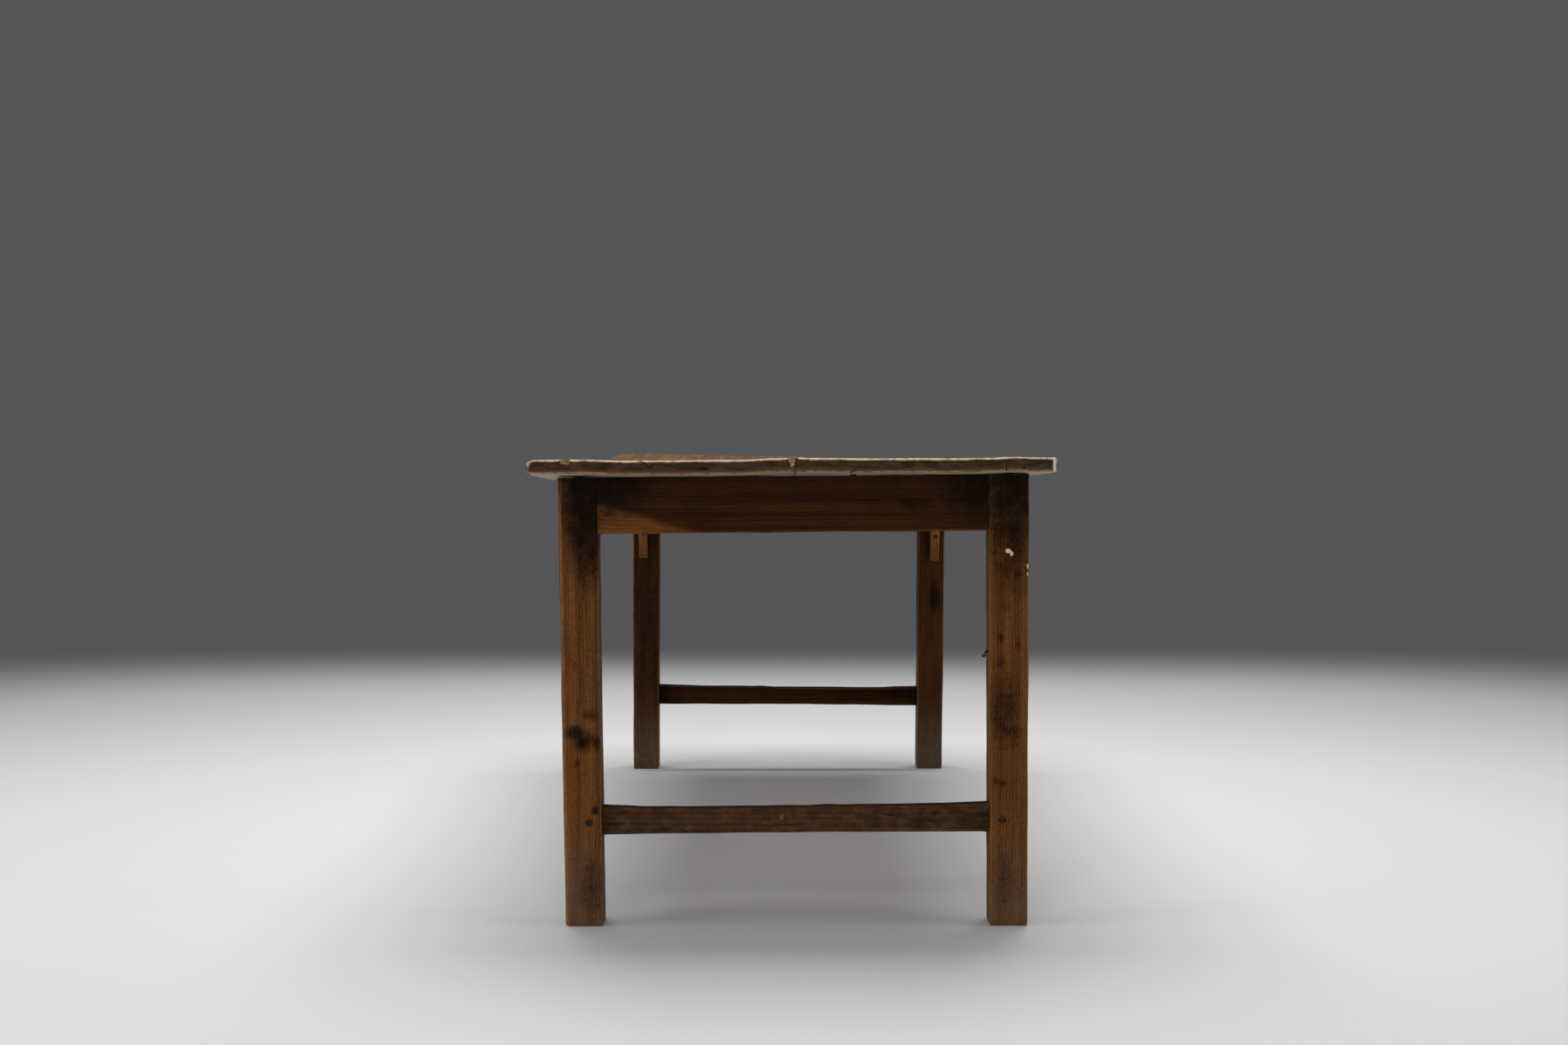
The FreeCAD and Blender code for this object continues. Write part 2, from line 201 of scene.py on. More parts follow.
class TableColours(bpy.types.PropertyGroup):
    """Tones of the wood and iron."""

    leg_light: colour("Leg light", "Light wood of the legs", (0.206, 0.078, 0.0197))
    leg_dark: colour("Leg dark", "Dark wood of the legs", (0.075, 0.0262, 0.0067))
    # Apron light: tone of the lighter wedge on the front apron, which is painted light; the rear stretcher
    # uses it darkened
    apron_light: colour("Apron light", "Sapwood of the aprons", (0.205, 0.0750, 0.0160))
    # The apron tones are darker than those of the legs: dark heartwood, and painted shade under the top
    apron_mid: colour("Apron middle", "Lighter heartwood of the aprons", (0.060, 0.0210, 0.0064))
    apron_dark: colour("Apron dark", "Heartwood of the aprons", (0.0115, 0.0040, 0.0015))
    stretcher_light: colour("Stretcher light", "Light wood of the stretchers", (0.086, 0.043, 0.0210))
    stretcher_dark: colour("Stretcher dark", "Dark wood of the stretchers", (0.026, 0.0128, 0.0068))
    bracket_light: colour("Bracket light", "Light wood of the brackets", (0.215, 0.077, 0.023))
    bracket_dark: colour("Bracket dark", "Dark wood of the brackets", (0.080, 0.027, 0.0080))
    top_light: colour("Top light", "Light wood of the top", (0.175, 0.090, 0.043))
    top_dark: colour("Top dark", "Dark wood of the top", (0.062, 0.0285, 0.0128))
    end_grain: colour("End grain", "Ends of the boards", (0.0225, 0.0135, 0.0068))
    end_light: colour("End grain light", "Lighter flecks in the board ends", (0.105, 0.0660, 0.0355))
    # Raw: unfinished underside, made paler to paint the light that the floor throws up onto it
    raw_and_bounce_light: colour("Raw", "Unfinished underside of the boards", (0.500, 0.405, 0.315))
    worn: colour("Worn", "Rubbed edges of the frame", (0.250, 0.110, 0.036))
    # Edge tone of the top: wear, made pale partly to paint the highlight along the front edge
    rim_wear_and_highlight: colour("Rim", "Rubbed edges of the top", (0.600, 0.400, 0.215))
    pore: colour("Pore", "Dirt in the pores", (0.0120, 0.0056, 0.0027))
    soot: colour("Soot", "Handling dirt and old stains", (0.0062, 0.0037, 0.0024))
    dust: colour("Dust", "Dust and scuffs", (0.150, 0.112, 0.082))
    torn: colour("Torn", "Freshly broken wood", (0.560, 0.395, 0.205))
    # Painted highlight of the right softbox on the rounded right corner of the front edge
    corner_highlight: colour("Limewash", "Pale brush mark on the front edge", (0.600, 0.650, 0.660))
    putty: colour("Putty", "Old filler and paint specks", (0.640, 0.520, 0.340))
    peg: colour("Peg", "End grain of the pegs", (0.058, 0.0300, 0.0155))
    iron: colour("Iron", "Hook and nails", (0.018, 0.0135, 0.0110))
    rust: colour("Rust", "Rust on the iron", (0.085, 0.030, 0.0110))


class StageSettings(bpy.types.PropertyGroup):
    """Camera, floor, backdrop and even light."""

    lens: bpy.props.FloatProperty(
        name="Lens", description="Focal length on a 36 mm sensor", default=50.07, unit="CAMERA"
    )
    camera: bpy.props.FloatVectorProperty(
        name="Camera", description="Place of the camera", default=(-0.035, -4.437, 0.767),
        subtype="TRANSLATION",
    )
    tilt: angle("Tilt", "How far the camera looks down", 0.0314)
    turn: angle("Turn", "How far the camera looks right", 0.0064)
    floor: colour("Floor", "Pale studio floor", (0.75, 0.75, 0.75))
    backdrop: colour("Backdrop", "Plain grey behind the table", (0.092, 0.092, 0.098))
    sky: bpy.props.FloatProperty(name="Sky", description="Even light from all round", default=0.14)


def sizes():
    return bpy.context.scene.table_sizes


def colours():
    return bpy.context.scene.table_colours


def dimmed(tone, share):
    return [part * share for part in tone]


# Modelling helpers

SHARP_ANGLE = math.radians(50)
SMOOTH_ANGLE = math.radians(38)
ARRIS_STEPS = 3
SHOULDER_CLEAR = 5 * MM
FULL_ARRIS_TURN = 0.22
WAVE_SIZE = 85 * MM
NICK_SIZE = 16 * MM
NICK_LEVEL = 0.42


def focus(piece):
    bpy.ops.object.select_all(action="DESELECT")
    piece.select_set(True)
    bpy.context.view_layer.objects.active = piece


@contextlib.contextmanager
def editing(piece, kind):
    """Edit mode on one piece, with nothing selected."""
    focus(piece)
    bpy.ops.object.mode_set(mode="EDIT")
    bpy.ops.mesh.select_mode(type=kind)
    bpy.ops.mesh.select_all(action="DESELECT")
    yield
    bpy.ops.object.mode_set(mode="OBJECT")


def pick(piece, elements, test):
    """Selects the vertices, edges or faces that pass a test, and nothing else."""
    bpy.ops.mesh.select_all(action="DESELECT")
    mesh = bmesh.from_edit_mesh(piece.data)
    for element in getattr(mesh, elements):
        if test(element):
            element.select_set(True)
    bmesh.update_edit_mesh(piece.data)


def named(piece, name):
    piece.name = name
    piece.data.name = name
    return piece


def block(name, low, high):
    """Box between two corners, with its place in its mesh."""
    bpy.ops.object.select_all(action="DESELECT")
    low, high = Vector(low), Vector(high)
    bpy.ops.mesh.primitive_cube_add(size=1.0, location=(low + high) / 2, scale=high - low)
    bpy.ops.object.transform_apply(location=True, rotation=True, scale=True)
    return named(bpy.context.object, name)


def frame_block(name, node, weights):
    """Box whose eight corners are pulled to those of a frame node, without its tenons."""
    piece = block(name, *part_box(node))
    middle = node_middle(node)
    with editing(piece, "VERT"):
        for index in range(8):
            pick(piece, "verts", lambda vertex: vertex.index == index)
            start = bmesh.from_edit_mesh(piece.data).verts[:][index].co.copy()
            signs = [math.copysign(weight, value) for weight, value in zip(weights, start - middle)]
            bpy.ops.transform.translate(value=cad_corner(node, signs) - start)
    return piece


def runs_along(edge, axis):
    span = edge.verts[1].co - edge.verts[0].co
    return abs(span[axis]) > 0.9 * span.length


def divide(piece, *cuts):
    """Divides the edges that run along an axis, for each pair of an axis and a number of cuts."""
    for axis, number in cuts:
        with editing(piece, "EDGE"):
            pick(piece, "edges", lambda edge: runs_along(edge, axis))
            bpy.ops.mesh.subdivide(number_cuts=number)


def is_sharp(edge):
    return edge.is_manifold and edge.calc_face_angle() > SHARP_ANGLE


def edge_middle(edge):
    return (edge.verts[0].co + edge.verts[1].co) / 2


def round_edges(piece, radius, steps, test):
    """Rounds the sharp edges whose middle passes a test."""
    with editing(piece, "EDGE"):
        pick(piece, "edges", lambda edge: is_sharp(edge) and test(edge_middle(edge)))
        bpy.ops.mesh.bevel(offset=radius, segments=steps, affect="EDGES")


def apply_modifier(piece, kind, **settings):
    focus(piece)
    modifier = piece.modifiers.new(kind.lower(), kind)
    for name, value in settings.items():
        setattr(modifier, name, value)
    bpy.ops.object.modifier_apply(modifier=modifier.name)


def refine(piece):
    """Divides every face once, without smoothing."""
    apply_modifier(piece, "SUBSURF", subdivision_type="SIMPLE", levels=1, render_levels=1)


def push(piece, size, strength, level, **settings):
    """Moves the surface in and out by clouds of one size."""
    texture = bpy.data.textures.new("hand work", "CLOUDS")
    texture.noise_scale = size
    texture.noise_depth = 1
    apply_modifier(
        piece, "DISPLACE", texture=texture, texture_coords="LOCAL", strength=strength, mid_level=level,
        **settings,
    )


def arris_values(piece, keep=None):
    """How far each vertex normal turns from the nearest axis: 0 on a flat face, 1 on an arris."""
    piece.data.update()
    values = []
    for vertex in piece.data.vertices:
        turned = 1.0 - max(abs(part) for part in vertex.normal)
        share = keep(vertex.co, vertex.normal) if keep else 1.0
        values.append(share * min(1.0, turned / FULL_ARRIS_TURN))
    return values


def weather(piece, wave, nick):
    """Planing waves all over, and nicks along the arrises."""
    push(piece, WAVE_SIZE, 2 * wave, 0.5)
    group = piece.vertex_groups.new(name="arris")
    for index, value in enumerate(arris_values(piece)):
        group.add([index], value, "REPLACE")
    push(piece, NICK_SIZE, -2 * nick, NICK_LEVEL, vertex_group="arris")
    piece.vertex_groups.clear()


def plane_by_hand(piece, share):
    """Fine mesh with a share of the plane's waves, and nicked arrises."""
    refine(piece)
    weather(piece, sizes().wave * share, sizes().nick)


def store(piece, name, kind, values):
    """Stores one value per vertex for the materials to read."""
    attribute = piece.data.attributes.new(name, kind, "POINT")
    flat = [number for value in values for number in value] if kind == "FLOAT_VECTOR" else values
    attribute.data.foreach_set("vector" if kind == "FLOAT_VECTOR" else "value", flat)


def lay_grain(piece, along, pith, flatten=None, knots=()):
    """Stores wood coordinates: across from the pith in the first two, along the grain in the third."""
    across = [axis for axis in range(3) if axis != along]
    grain = []
    for vertex in piece.data.vertices:
        place = flatten(vertex.co) if flatten else vertex.co
        rest = [place[axis] - pith[axis] for axis in across]
        for knot, reach, depth in knots:
            rest[1] += depth * math.exp(-((place - knot).length / reach) ** 2)
        grain.append((rest[0], rest[1], place[along]))
    store(piece, "grain", "FLOAT_VECTOR", grain)


def lay_wear(piece, marks=(), keep=None):
    """Stores how worn each vertex is, and how dark its marks of (centre, reach, strength) make it: soiling
    and painted shade.
    """
    store(piece, "rubbed", "FLOAT", arris_values(piece, keep))
    dirt = []
    for vertex in piece.data.vertices:
        most = 0.0
        for centre, reach, strength in marks:
            away = Vector((vertex.co[i] - centre[i]) / reach[i] for i in range(3)).length
            most = max(most, strength * max(0.0, 1.0 - away ** 2))
        dirt.append(most)
    store(piece, "dirt", "FLOAT", dirt)


def paint(piece, material):
    """Gives a piece one material."""
    piece.data.materials.clear()
    piece.data.materials.append(material)


def hand_over(piece, node):
    """Lets a finished piece stand for its frame node."""
    focus(piece)
    bpy.ops.object.shade_smooth_by_angle(angle=SMOOTH_ANGLE)
    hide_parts(node)
    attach(piece, BODY)


def finish_wood(piece, node, material, along, pith, marks=(), keep=None):
    """Last steps of a wooden piece, whose pith lies at an offset from the middle of its frame node."""
    lay_grain(piece, along, node_middle(node) + Vector(pith))
    lay_wear(piece, marks, keep)
    paint(piece, material)
    hand_over(piece, node)


# Cutters for chips and cracks

CRACK_PROUD = 3 * MM


def torn_cutter(centre, size, material, seed):
    """Rough lump that breaks a chip out of an edge."""
    bpy.ops.object.select_all(action="DESELECT")
    bpy.ops.mesh.primitive_ico_sphere_add(subdivisions=3, radius=1.0, location=centre, scale=size)
    bpy.ops.object.transform_apply(location=True, rotation=True, scale=True)
    lump = bpy.context.object
    shift = Vector((seed * 3.1, seed * 1.7, seed * 2.3))
    for vertex in lump.data.vertices:
        coarse = noise.noise(vertex.co / (4 * MM) + shift) * 0.45
        fine = noise.noise(vertex.co / (1.7 * MM) + shift) * 0.2
        vertex.co += (vertex.co - Vector(centre)) * (coarse + fine)
    lump.data.materials.append(material)
    return lump


def crack_cutter(points, depth, material):
    """Thin crooked wedge that runs into the front edge, along points of (across, up, width in mm)."""
    inward = Vector((0.0, 1.0, 0.0))
    line = [Vector((x, CAD_LOW.y, z)) for x, z, _ in points]
    left, right = [], []
    for index, (_, _, width) in enumerate(points):
        before = line[max(index - 1, 0)]
        after = line[min(index + 1, len(line) - 1)]
        sideways = (after - before).cross(inward).normalized() * (width * MM) / 2
        left.append(line[index] - inward * CRACK_PROUD + sideways)
        right.append(line[index] - inward * CRACK_PROUD - sideways)
    ring = left + right[::-1]
    mesh = bpy.data.meshes.new("crack")
    mesh.from_pydata(ring, [], [list(range(len(ring)))])
    crack = bpy.data.objects.new("crack", mesh)
    bpy.context.scene.collection.objects.link(crack)
    with editing(crack, "FACE"):
        bpy.ops.mesh.select_all(action="SELECT")
        sunk = inward * (depth + CRACK_PROUD)
        bpy.ops.mesh.extrude_region_move(TRANSFORM_OT_translate={"value": sunk})
        bpy.ops.mesh.select_all(action="SELECT")
        bpy.ops.mesh.normals_make_consistent(inside=False)
    mesh.materials.append(material)
    return crack


def carve(piece, cutters):
    """Takes the cutters out of a piece, which keeps their material on the cut."""
    apply_modifier(piece, "TRIANGULATE")
    for cutter in cutters:
        apply_modifier(
            piece, "BOOLEAN", object=cutter, operation="DIFFERENCE", solver="EXACT",
            material_mode="TRANSFER",
        )
        bpy.data.objects.remove(cutter)


# Material helpers

class Recipe:
    """Adds linked shader nodes to one material."""

    def __init__(self, name):
        self.material = bpy.data.materials.new(name)
        self.material.use_nodes = True
        self.nodes = self.material.node_tree.nodes
        self.links = self.material.node_tree.links
        self.shader = self.nodes["Principled BSDF"]

    def node(self, kind, **settings):
        made = self.nodes.new(kind)
        for name, value in settings.items():
            setattr(made, name, value)
        return made

    def feed(self, socket, value):
        """Links a socket, or sets a constant on it."""
        if isinstance(value, bpy.types.NodeSocket):
            self.links.new(value, socket)
        else:
            socket.default_value = value

    def math(self, operation, first, second=0.0):
        made = self.node("ShaderNodeMath", operation=operation)
        self.feed(made.inputs[0], first)
        self.feed(made.inputs[1], second)
        return made.outputs[0]

    def times(self, first, second):
        return self.math("MULTIPLY", first, second)

    def plus(self, first, second):
        return self.math("ADD", first, second)

    def total(self, weighed):
        """Sum of values, each times its weight."""
        result, *others = [self.times(value, weight) for value, weight in weighed]
        for other in others:
            result = self.plus(result, other)
        return result

    def vector(self, operation, first, second=(0.0, 0.0, 0.0)):
        made = self.node("ShaderNodeVectorMath", operation=operation)
        self.feed(made.inputs[0], first)
        self.feed(made.inputs[1], second)
        return made.outputs["Value" if operation in ("LENGTH", "DOT_PRODUCT") else "Vector"]

    def parts(self, value):
        """The three parts of a vector."""
        made = self.node("ShaderNodeSeparateXYZ")
        self.feed(made.inputs[0], value)
        return tuple(made.outputs)

    def attribute(self, name, output="Fac"):
        return self.node("ShaderNodeAttribute", attribute_name=name).outputs[output]

    def place(self):
        return self.node("ShaderNodeTexCoord").outputs["Object"]

    def in_cells(self, made, place, density):
        """Gives a texture its place in cells, from cells per metre: one number, or one for each axis."""
        each = density if isinstance(density, tuple) else (density, density, density)
        self.feed(made.inputs["Vector"], self.vector("MULTIPLY", place, each))
        self.feed(made.inputs["Scale"], 1.0)

    def noise(self, place, density, detail, output="Fac"):
        made = self.node("ShaderNodeTexNoise")
        self.in_cells(made, place, density)
        self.feed(made.inputs["Detail"], detail)
        return made.outputs[output]

    def swing(self, place, density, detail):
        """Noise from -0.5 to 0.5."""
        return self.math("SUBTRACT", self.noise(place, density, detail), 0.5)

    def cells(self, place, density):
        """Distance from scattered points."""
        made = self.node("ShaderNodeTexVoronoi")
        self.in_cells(made, place, density)
        return made.outputs["Distance"]

    def fade(self, value, start, stop):
        """Smooth step from 0 at start to 1 at stop."""
        made = self.node("ShaderNodeMapRange", interpolation_type="SMOOTHSTEP")
        self.feed(made.inputs["Value"], value)
        rising = start < stop
        made.inputs["From Min"].default_value = start if rising else stop
        made.inputs["From Max"].default_value = stop if rising else start
        made.inputs["To Min"].default_value = 0.0 if rising else 1.0
        made.inputs["To Max"].default_value = 1.0 if rising else 0.0
        return made.outputs["Result"]

    def scale(self, value, low, high):
        """Linear change of a value from 0..1 to low..high."""
        made = self.node("ShaderNodeMapRange")
        self.feed(made.inputs["Value"], value)
        made.inputs["To Min"].default_value = low
        made.inputs["To Max"].default_value = high
        return made.outputs["Result"]

    def mix(self, factor, first, second):
        made = self.node("ShaderNodeMix", data_type="RGBA")
        self.feed(made.inputs[0], factor)
        for socket, value in ((made.inputs[6], first), (made.inputs[7], second)):
            self.feed(socket, value if isinstance(value, bpy.types.NodeSocket) else (*value, 1.0))
        return made.outputs[2]

    def spot(self, centre, reach):
        """Ragged patch round a point: 1 inside and 0 outside."""
        place = self.place()
        away = self.vector("DIVIDE", self.vector("SUBTRACT", place, centre), reach)
        ragged = self.plus(self.vector("LENGTH", away), self.swing(place, 260.0, 3.0))
        return self.fade(ragged, 1.25, 0.75)

    def scratch(self, start, end, width):
        """Thin straight line between two points, seen along Y."""
        run = Vector(end) - Vector(start)
        run.y = 0.0
        offset = self.vector("SUBTRACT", self.place(), start)
        offset = self.vector("MULTIPLY", offset, (1.0, 0.0, 1.0))
        share = self.vector("DOT_PRODUCT", offset, run / run.length_squared)
        share = self.math("MINIMUM", self.math("MAXIMUM", share, 0.0), 1.0)
        nearest = self.vector("MULTIPLY", share, run)
        gap = self.vector("LENGTH", self.vector("SUBTRACT", offset, nearest))
        return self.fade(gap, width, 0.3 * width)

    def surface(self, tint, rough, gloss):
        """Colour, roughness and gloss of the shader."""
        self.feed(self.shader.inputs["Base Color"], tint)
        self.feed(self.shader.inputs["Roughness"], rough)
        self.shader.inputs["Specular IOR Level"].default_value = gloss

    def bump(self, height, distance):
        made = self.node("ShaderNodeBump")
        made.inputs["Distance"].default_value = distance
        self.feed(made.inputs["Height"], height)
        self.feed(self.shader.inputs["Normal"], made.outputs["Normal"])


class Figure:
    """Rings, pores, fibres and streaks of ring-porous wood, on a piece's grain coordinates."""

    SWAY = 16 * MM

    def __init__(self, recipe, ring):
        grain = recipe.attribute("grain", "Vector")
        swirl = recipe.noise(grain, (7.0, 7.0, 1.3), 2.0, "Color")
        swirl = recipe.vector("SUBTRACT", swirl, (0.5, 0.5, 0.5))
        swirl = recipe.vector("MULTIPLY", swirl, (self.SWAY, self.SWAY, 0.0))
        bent = recipe.vector("ADD", grain, swirl)
        radius = recipe.vector("LENGTH", recipe.vector("MULTIPLY", bent, (1.0, 1.0, 0.0)))
        phase = recipe.math("FRACT", recipe.math("DIVIDE", radius, ring))
        self.grain = bent
        self.early = recipe.times(recipe.fade(phase, 0.0, 0.12), recipe.fade(phase, 0.60, 0.22))
        fine = recipe.fade(recipe.cells(bent, (1150.0, 1150.0, 190.0)), 0.42, 0.17)
        coarse = recipe.fade(recipe.cells(bent, (640.0, 640.0, 105.0)), 0.36, 0.18)
        pores = recipe.math("MAXIMUM", recipe.times(fine, 0.75), recipe.times(coarse, 0.6))
        self.pore = recipe.times(pores, recipe.scale(self.early, 0.38, 1.0))
        self.fibre = recipe.noise(bent, (520.0, 520.0, 16.0), 3.0)
        self.streak = recipe.noise(bent, (70.0, 70.0, 2.2), 3.0)


class Layers:
    """Tint and wear of one wood, while its finish is laid on."""

    def __init__(self, recipe, figure, tint, rubbing):
        self.recipe = recipe
        self.figure = figure
        self.place = recipe.place()
        self.tint = tint
        self.worn = colours().worn
        self.rubbing = rubbing
        self.polish = 0.0

    def lay(self, factor, tone):
        """Lays a tone over what is there."""
        self.tint = self.recipe.mix(factor, self.tint, tone)


RIM_ROUGHNESS = 0.24


def wood(
    name, light, dark, ring=5.2 * MM, rough=0.52, gloss=0.05, contrast=1.0, rubbing=0.8,
    finish=None, spots=(), scratches=(),
):
    """Old oiled wood with rings, dirty pores, worn arrises, and marks of handling soil and painted shade."""
    tones = colours()
    recipe = Recipe(name)
    figure = Figure(recipe, ring)
    speckle = recipe.noise(figure.grain, (480.0, 480.0, 170.0), 4.0)
    tone = recipe.total((
        (recipe.fade(figure.streak, 0.32, 0.70), 0.50),
        (figure.early, 0.26 * contrast),
        (recipe.fade(figure.fibre, 0.35, 0.75), 0.34 * contrast),
        (recipe.fade(speckle, 0.40, 0.66), 0.30 * contrast),
    ))
    layers = Layers(recipe, figure, recipe.mix(tone, light, dark), rubbing)
    patina = recipe.noise(layers.place, (11.0, 11.0, 6.0), 4.0)
    layers.lay(recipe.times(recipe.fade(patina, 0.50, 0.76), 0.55), dark)
    if finish:
        finish(layers)
    rub(layers)
    layers.lay(recipe.times(figure.pore, 0.86 * contrast), tones.pore)
    soil(layers)
    for spot_tone, centre, reach in spots:
        layers.lay(recipe.spot(centre, reach), spot_tone)
    for line in scratches:
        layers.lay(recipe.times(recipe.scratch(*line), 0.5), tones.pore)
    worn_sheen = recipe.noise(layers.place, 38.0, 3.0)
    recipe.surface(layers.tint, recipe.scale(worn_sheen, rough - 0.10, rough + 0.12), gloss)
    add_relief(layers)
    return recipe.material


def rub(layers):
    """Lightens the arrises that hands and clothes have worn, and polishes those of the top; on the front
    edge of the top the lightening is also a painted highlight.
    """
    recipe = layers.recipe
    uneven = recipe.fade(recipe.noise(layers.place, (110.0, 110.0, 70.0), 4.0), 0.30, 0.60)
    rubbed = recipe.times(recipe.attribute("rubbed"), recipe.scale(uneven, 0.45, 1.0))
    factor = recipe.times(recipe.fade(rubbed, 0.06, 0.80), layers.rubbing)
    layers.lay(factor, layers.worn)
    if layers.polish:
        coat = recipe.shader.inputs
        recipe.feed(coat["Coat Weight"], recipe.times(factor, layers.polish))
        coat["Coat Roughness"].default_value = RIM_ROUGHNESS


def soil(layers):
    """Darkens the marked places, both soiled ones and painted shade: a soft veil, then streaks along the
    grain.
    """
    recipe = layers.recipe
    dirt = recipe.attribute("dirt")
    broad = recipe.swing(layers.place, (60.0, 60.0, 40.0), 4.0)
    cloudy = recipe.plus(dirt, recipe.times(recipe.times(broad, dirt), 0.9))
    streaky = recipe.swing(layers.figure.grain, (380.0, 380.0, 140.0), 6.0)
    streaky = recipe.plus(cloudy, recipe.times(streaky, 1.6))
    layers.lay(recipe.times(recipe.fade(cloudy, 0.12, 0.94), 0.93), colours().soot)
    layers.lay(recipe.times(recipe.fade(streaky, 0.22, 0.98), 0.72), colours().soot)


def add_relief(layers):
    """Open pores, fibres and small dents."""
    recipe, figure = layers.recipe, layers.figure
    dents = recipe.fade(recipe.cells(layers.place, 46.0), 0.0, 0.22)
    height = recipe.total(((figure.pore, -0.8), (figure.fibre, 0.35), (dents, 0.5)))
    recipe.bump(height, 0.5 * MM)


# Stage

# Lamp: place, size, power, and whether reflections show it
LAMPS = {
    "overhead softbox": ((0.0, 0.7, 3.6), (2.8, 2.6), 158.0, True),
    "left softbox": ((-3.6, -1.6, 1.7), (2.0, 2.0), 40.0, False),
    "right softbox": ((3.6, -1.4, 1.7), (2.0, 2.0), 30.0, False),
    "front softbox": ((-0.6, -5.4, 2.1), (2.6, 1.8), 62.0, False),
}
LAMP_AIM = Vector((0.0, 0.0, 0.4))
FLOOR_RADIUS = 9.0
FLOOR_FADE = (2.6, 4.3)
FLOOR_ROUGHNESS = 0.42
FLOOR_GLOSS = 0.35


def area_lamp(name, place, size, power, mirrored):
    bpy.ops.object.select_all(action="DESELECT")
    bpy.ops.object.light_add(type="AREA", location=place)
    lamp = bpy.context.object
    lamp.name = name
    lamp.data.shape = "RECTANGLE"
    lamp.data.size, lamp.data.size_y = size
    lamp.data.energy = power
    lamp.visible_camera = False
    lamp.visible_glossy = mirrored
    lamp.rotation_euler = (LAMP_AIM - Vector(place)).to_track_quat("-Z", "Y").to_euler()


def floor_finish():
    """Pale, faintly polished floor that fades out in a rounded square far from the table."""
    recipe = Recipe("studio floor")
    recipe.surface((*bpy.context.scene.table_stage.floor, 1.0), FLOOR_ROUGHNESS, FLOOR_GLOSS)
    place = recipe.place()
    squared = recipe.vector("MULTIPLY", place, place)
    away = recipe.math("POWER", recipe.vector("DOT_PRODUCT", squared, squared), 0.25)
    clear = recipe.node("ShaderNodeBsdfTransparent")
    blend = recipe.node("ShaderNodeMixShader")
    recipe.feed(blend.inputs[0], recipe.fade(away, *FLOOR_FADE))
    recipe.feed(blend.inputs[1], recipe.shader.outputs[0])
    recipe.feed(blend.inputs[2], clear.outputs[0])
    recipe.feed(recipe.nodes["Material Output"].inputs["Surface"], blend.outputs[0])
    return recipe.material


def studio_world():
    """Even light from all round, with a plain grey backdrop for the camera and for reflections."""
    stage = bpy.context.scene.table_stage
    world = bpy.data.worlds.new("studio")
    bpy.context.scene.world = world
    world.use_nodes = True
    nodes, links = world.node_tree.nodes, world.node_tree.links
    light = nodes["Background"]
    light.inputs["Color"].default_value = (1.0, 1.0, 1.0, 1.0)
    light.inputs["Strength"].default_value = stage.sky
    shown = nodes.new("ShaderNodeBackground")
    shown.inputs["Color"].default_value = (*stage.backdrop, 1.0)
    path = nodes.new("ShaderNodeLightPath")
    seen = path.outputs["Is Camera Ray"]
    for ray in ("Is Glossy Ray", "Is Transmission Ray"):
        either = nodes.new("ShaderNodeMath")
        either.operation = "MAXIMUM"
        links.new(seen, either.inputs[0])
        links.new(path.outputs[ray], either.inputs[1])
        seen = either.outputs[0]
    blend = nodes.new("ShaderNodeMixShader")
    links.new(seen, blend.inputs[0])
    links.new(light.outputs[0], blend.inputs[1])
    links.new(shown.outputs[0], blend.inputs[2])
    links.new(blend.outputs[0], nodes["World Output"].inputs["Surface"])


class TABLE_OT_stage(bpy.types.Operator):
    """Make the floor, the soft lamps and the camera"""

    bl_idname = "farmhouse.stage"
    bl_label = "Stage"

    def execute(self, context):
        stage = context.scene.table_stage
        bpy.ops.object.select_all(action="DESELECT")
        bpy.ops.mesh.primitive_circle_add(
            vertices=96, radius=FLOOR_RADIUS, fill_type="NGON", location=(0, 0, 0)
        )
        floor = named(bpy.context.object, "studio_floor")
        floor.data.materials.append(floor_finish())
        studio_world()
        for name, lamp in LAMPS.items():
            area_lamp(name, *lamp)
        bpy.ops.object.camera_add(
            location=stage.camera, rotation=(math.pi / 2 - stage.tilt, 0.0, -stage.turn)
        )
        camera = context.object
        camera.data.sensor_width = 36.0
        camera.data.lens = stage.lens
        camera.data.clip_end = 100.0
        context.scene.camera = camera
        context.scene.view_settings.view_transform = "Standard"
        return {"FINISHED"}


# Top boards

# Lift of the two ends of the top: places across, and the lift there in millimetres
FRONT_LIFT = (
    (-0.424, 2.0), (-0.330, 2.0), (-0.260, -0.6), (-0.080, -0.3), (-0.030, 1.8), (0.005, 2.8), (0.045, 1.2),
    (0.130, 0.2), (0.260, -0.9), (0.320, -0.6), (0.352, 0.8), (0.390, -0.7), (0.424, -1.0),
)
REAR_LIFT = (
    (-0.424, 0.5), (-0.396, 5.2), (-0.340, 7.3), (-0.247, 4.3), (-0.100, 2.5), (-0.039, 1.9),
    (0.200, -0.5), (0.424, 1.5),
)
LIFT_REACH = 0.30
FRONT_THINNING_REACH = 0.05
LEFT_EDGE_LOSS = 0.30
JOINT_ARRIS = 1.4 * MM
JOINT_FLATTENING = 1.2 * MM
# Dark mark along the joint of the boards: dirt, and painted shade in the crease
JOINT_DIRT_AND_SHADE = (((JOINT_X, 0.0, 0.75), (11 * MM, 1.3, 0.3), 0.8),)
# Height of the pith over the underside of a flat board: it lies below the board
PITH_DEPTH = -70 * MM
RIM_POLISH = 0.9

# Chip in the front edge: centre, half size, finish and seed
CHIPS = {
    "left": (
        ((-0.359, CAD_LOW.y, 0.757), (9 * MM, 5 * MM, 6.5 * MM), "browned", 1),
        ((0.000, CAD_LOW.y - 1 * MM, 0.757), (5 * MM, 6 * MM, 9 * MM), "torn", 2),
    ),
    "right": (),
}
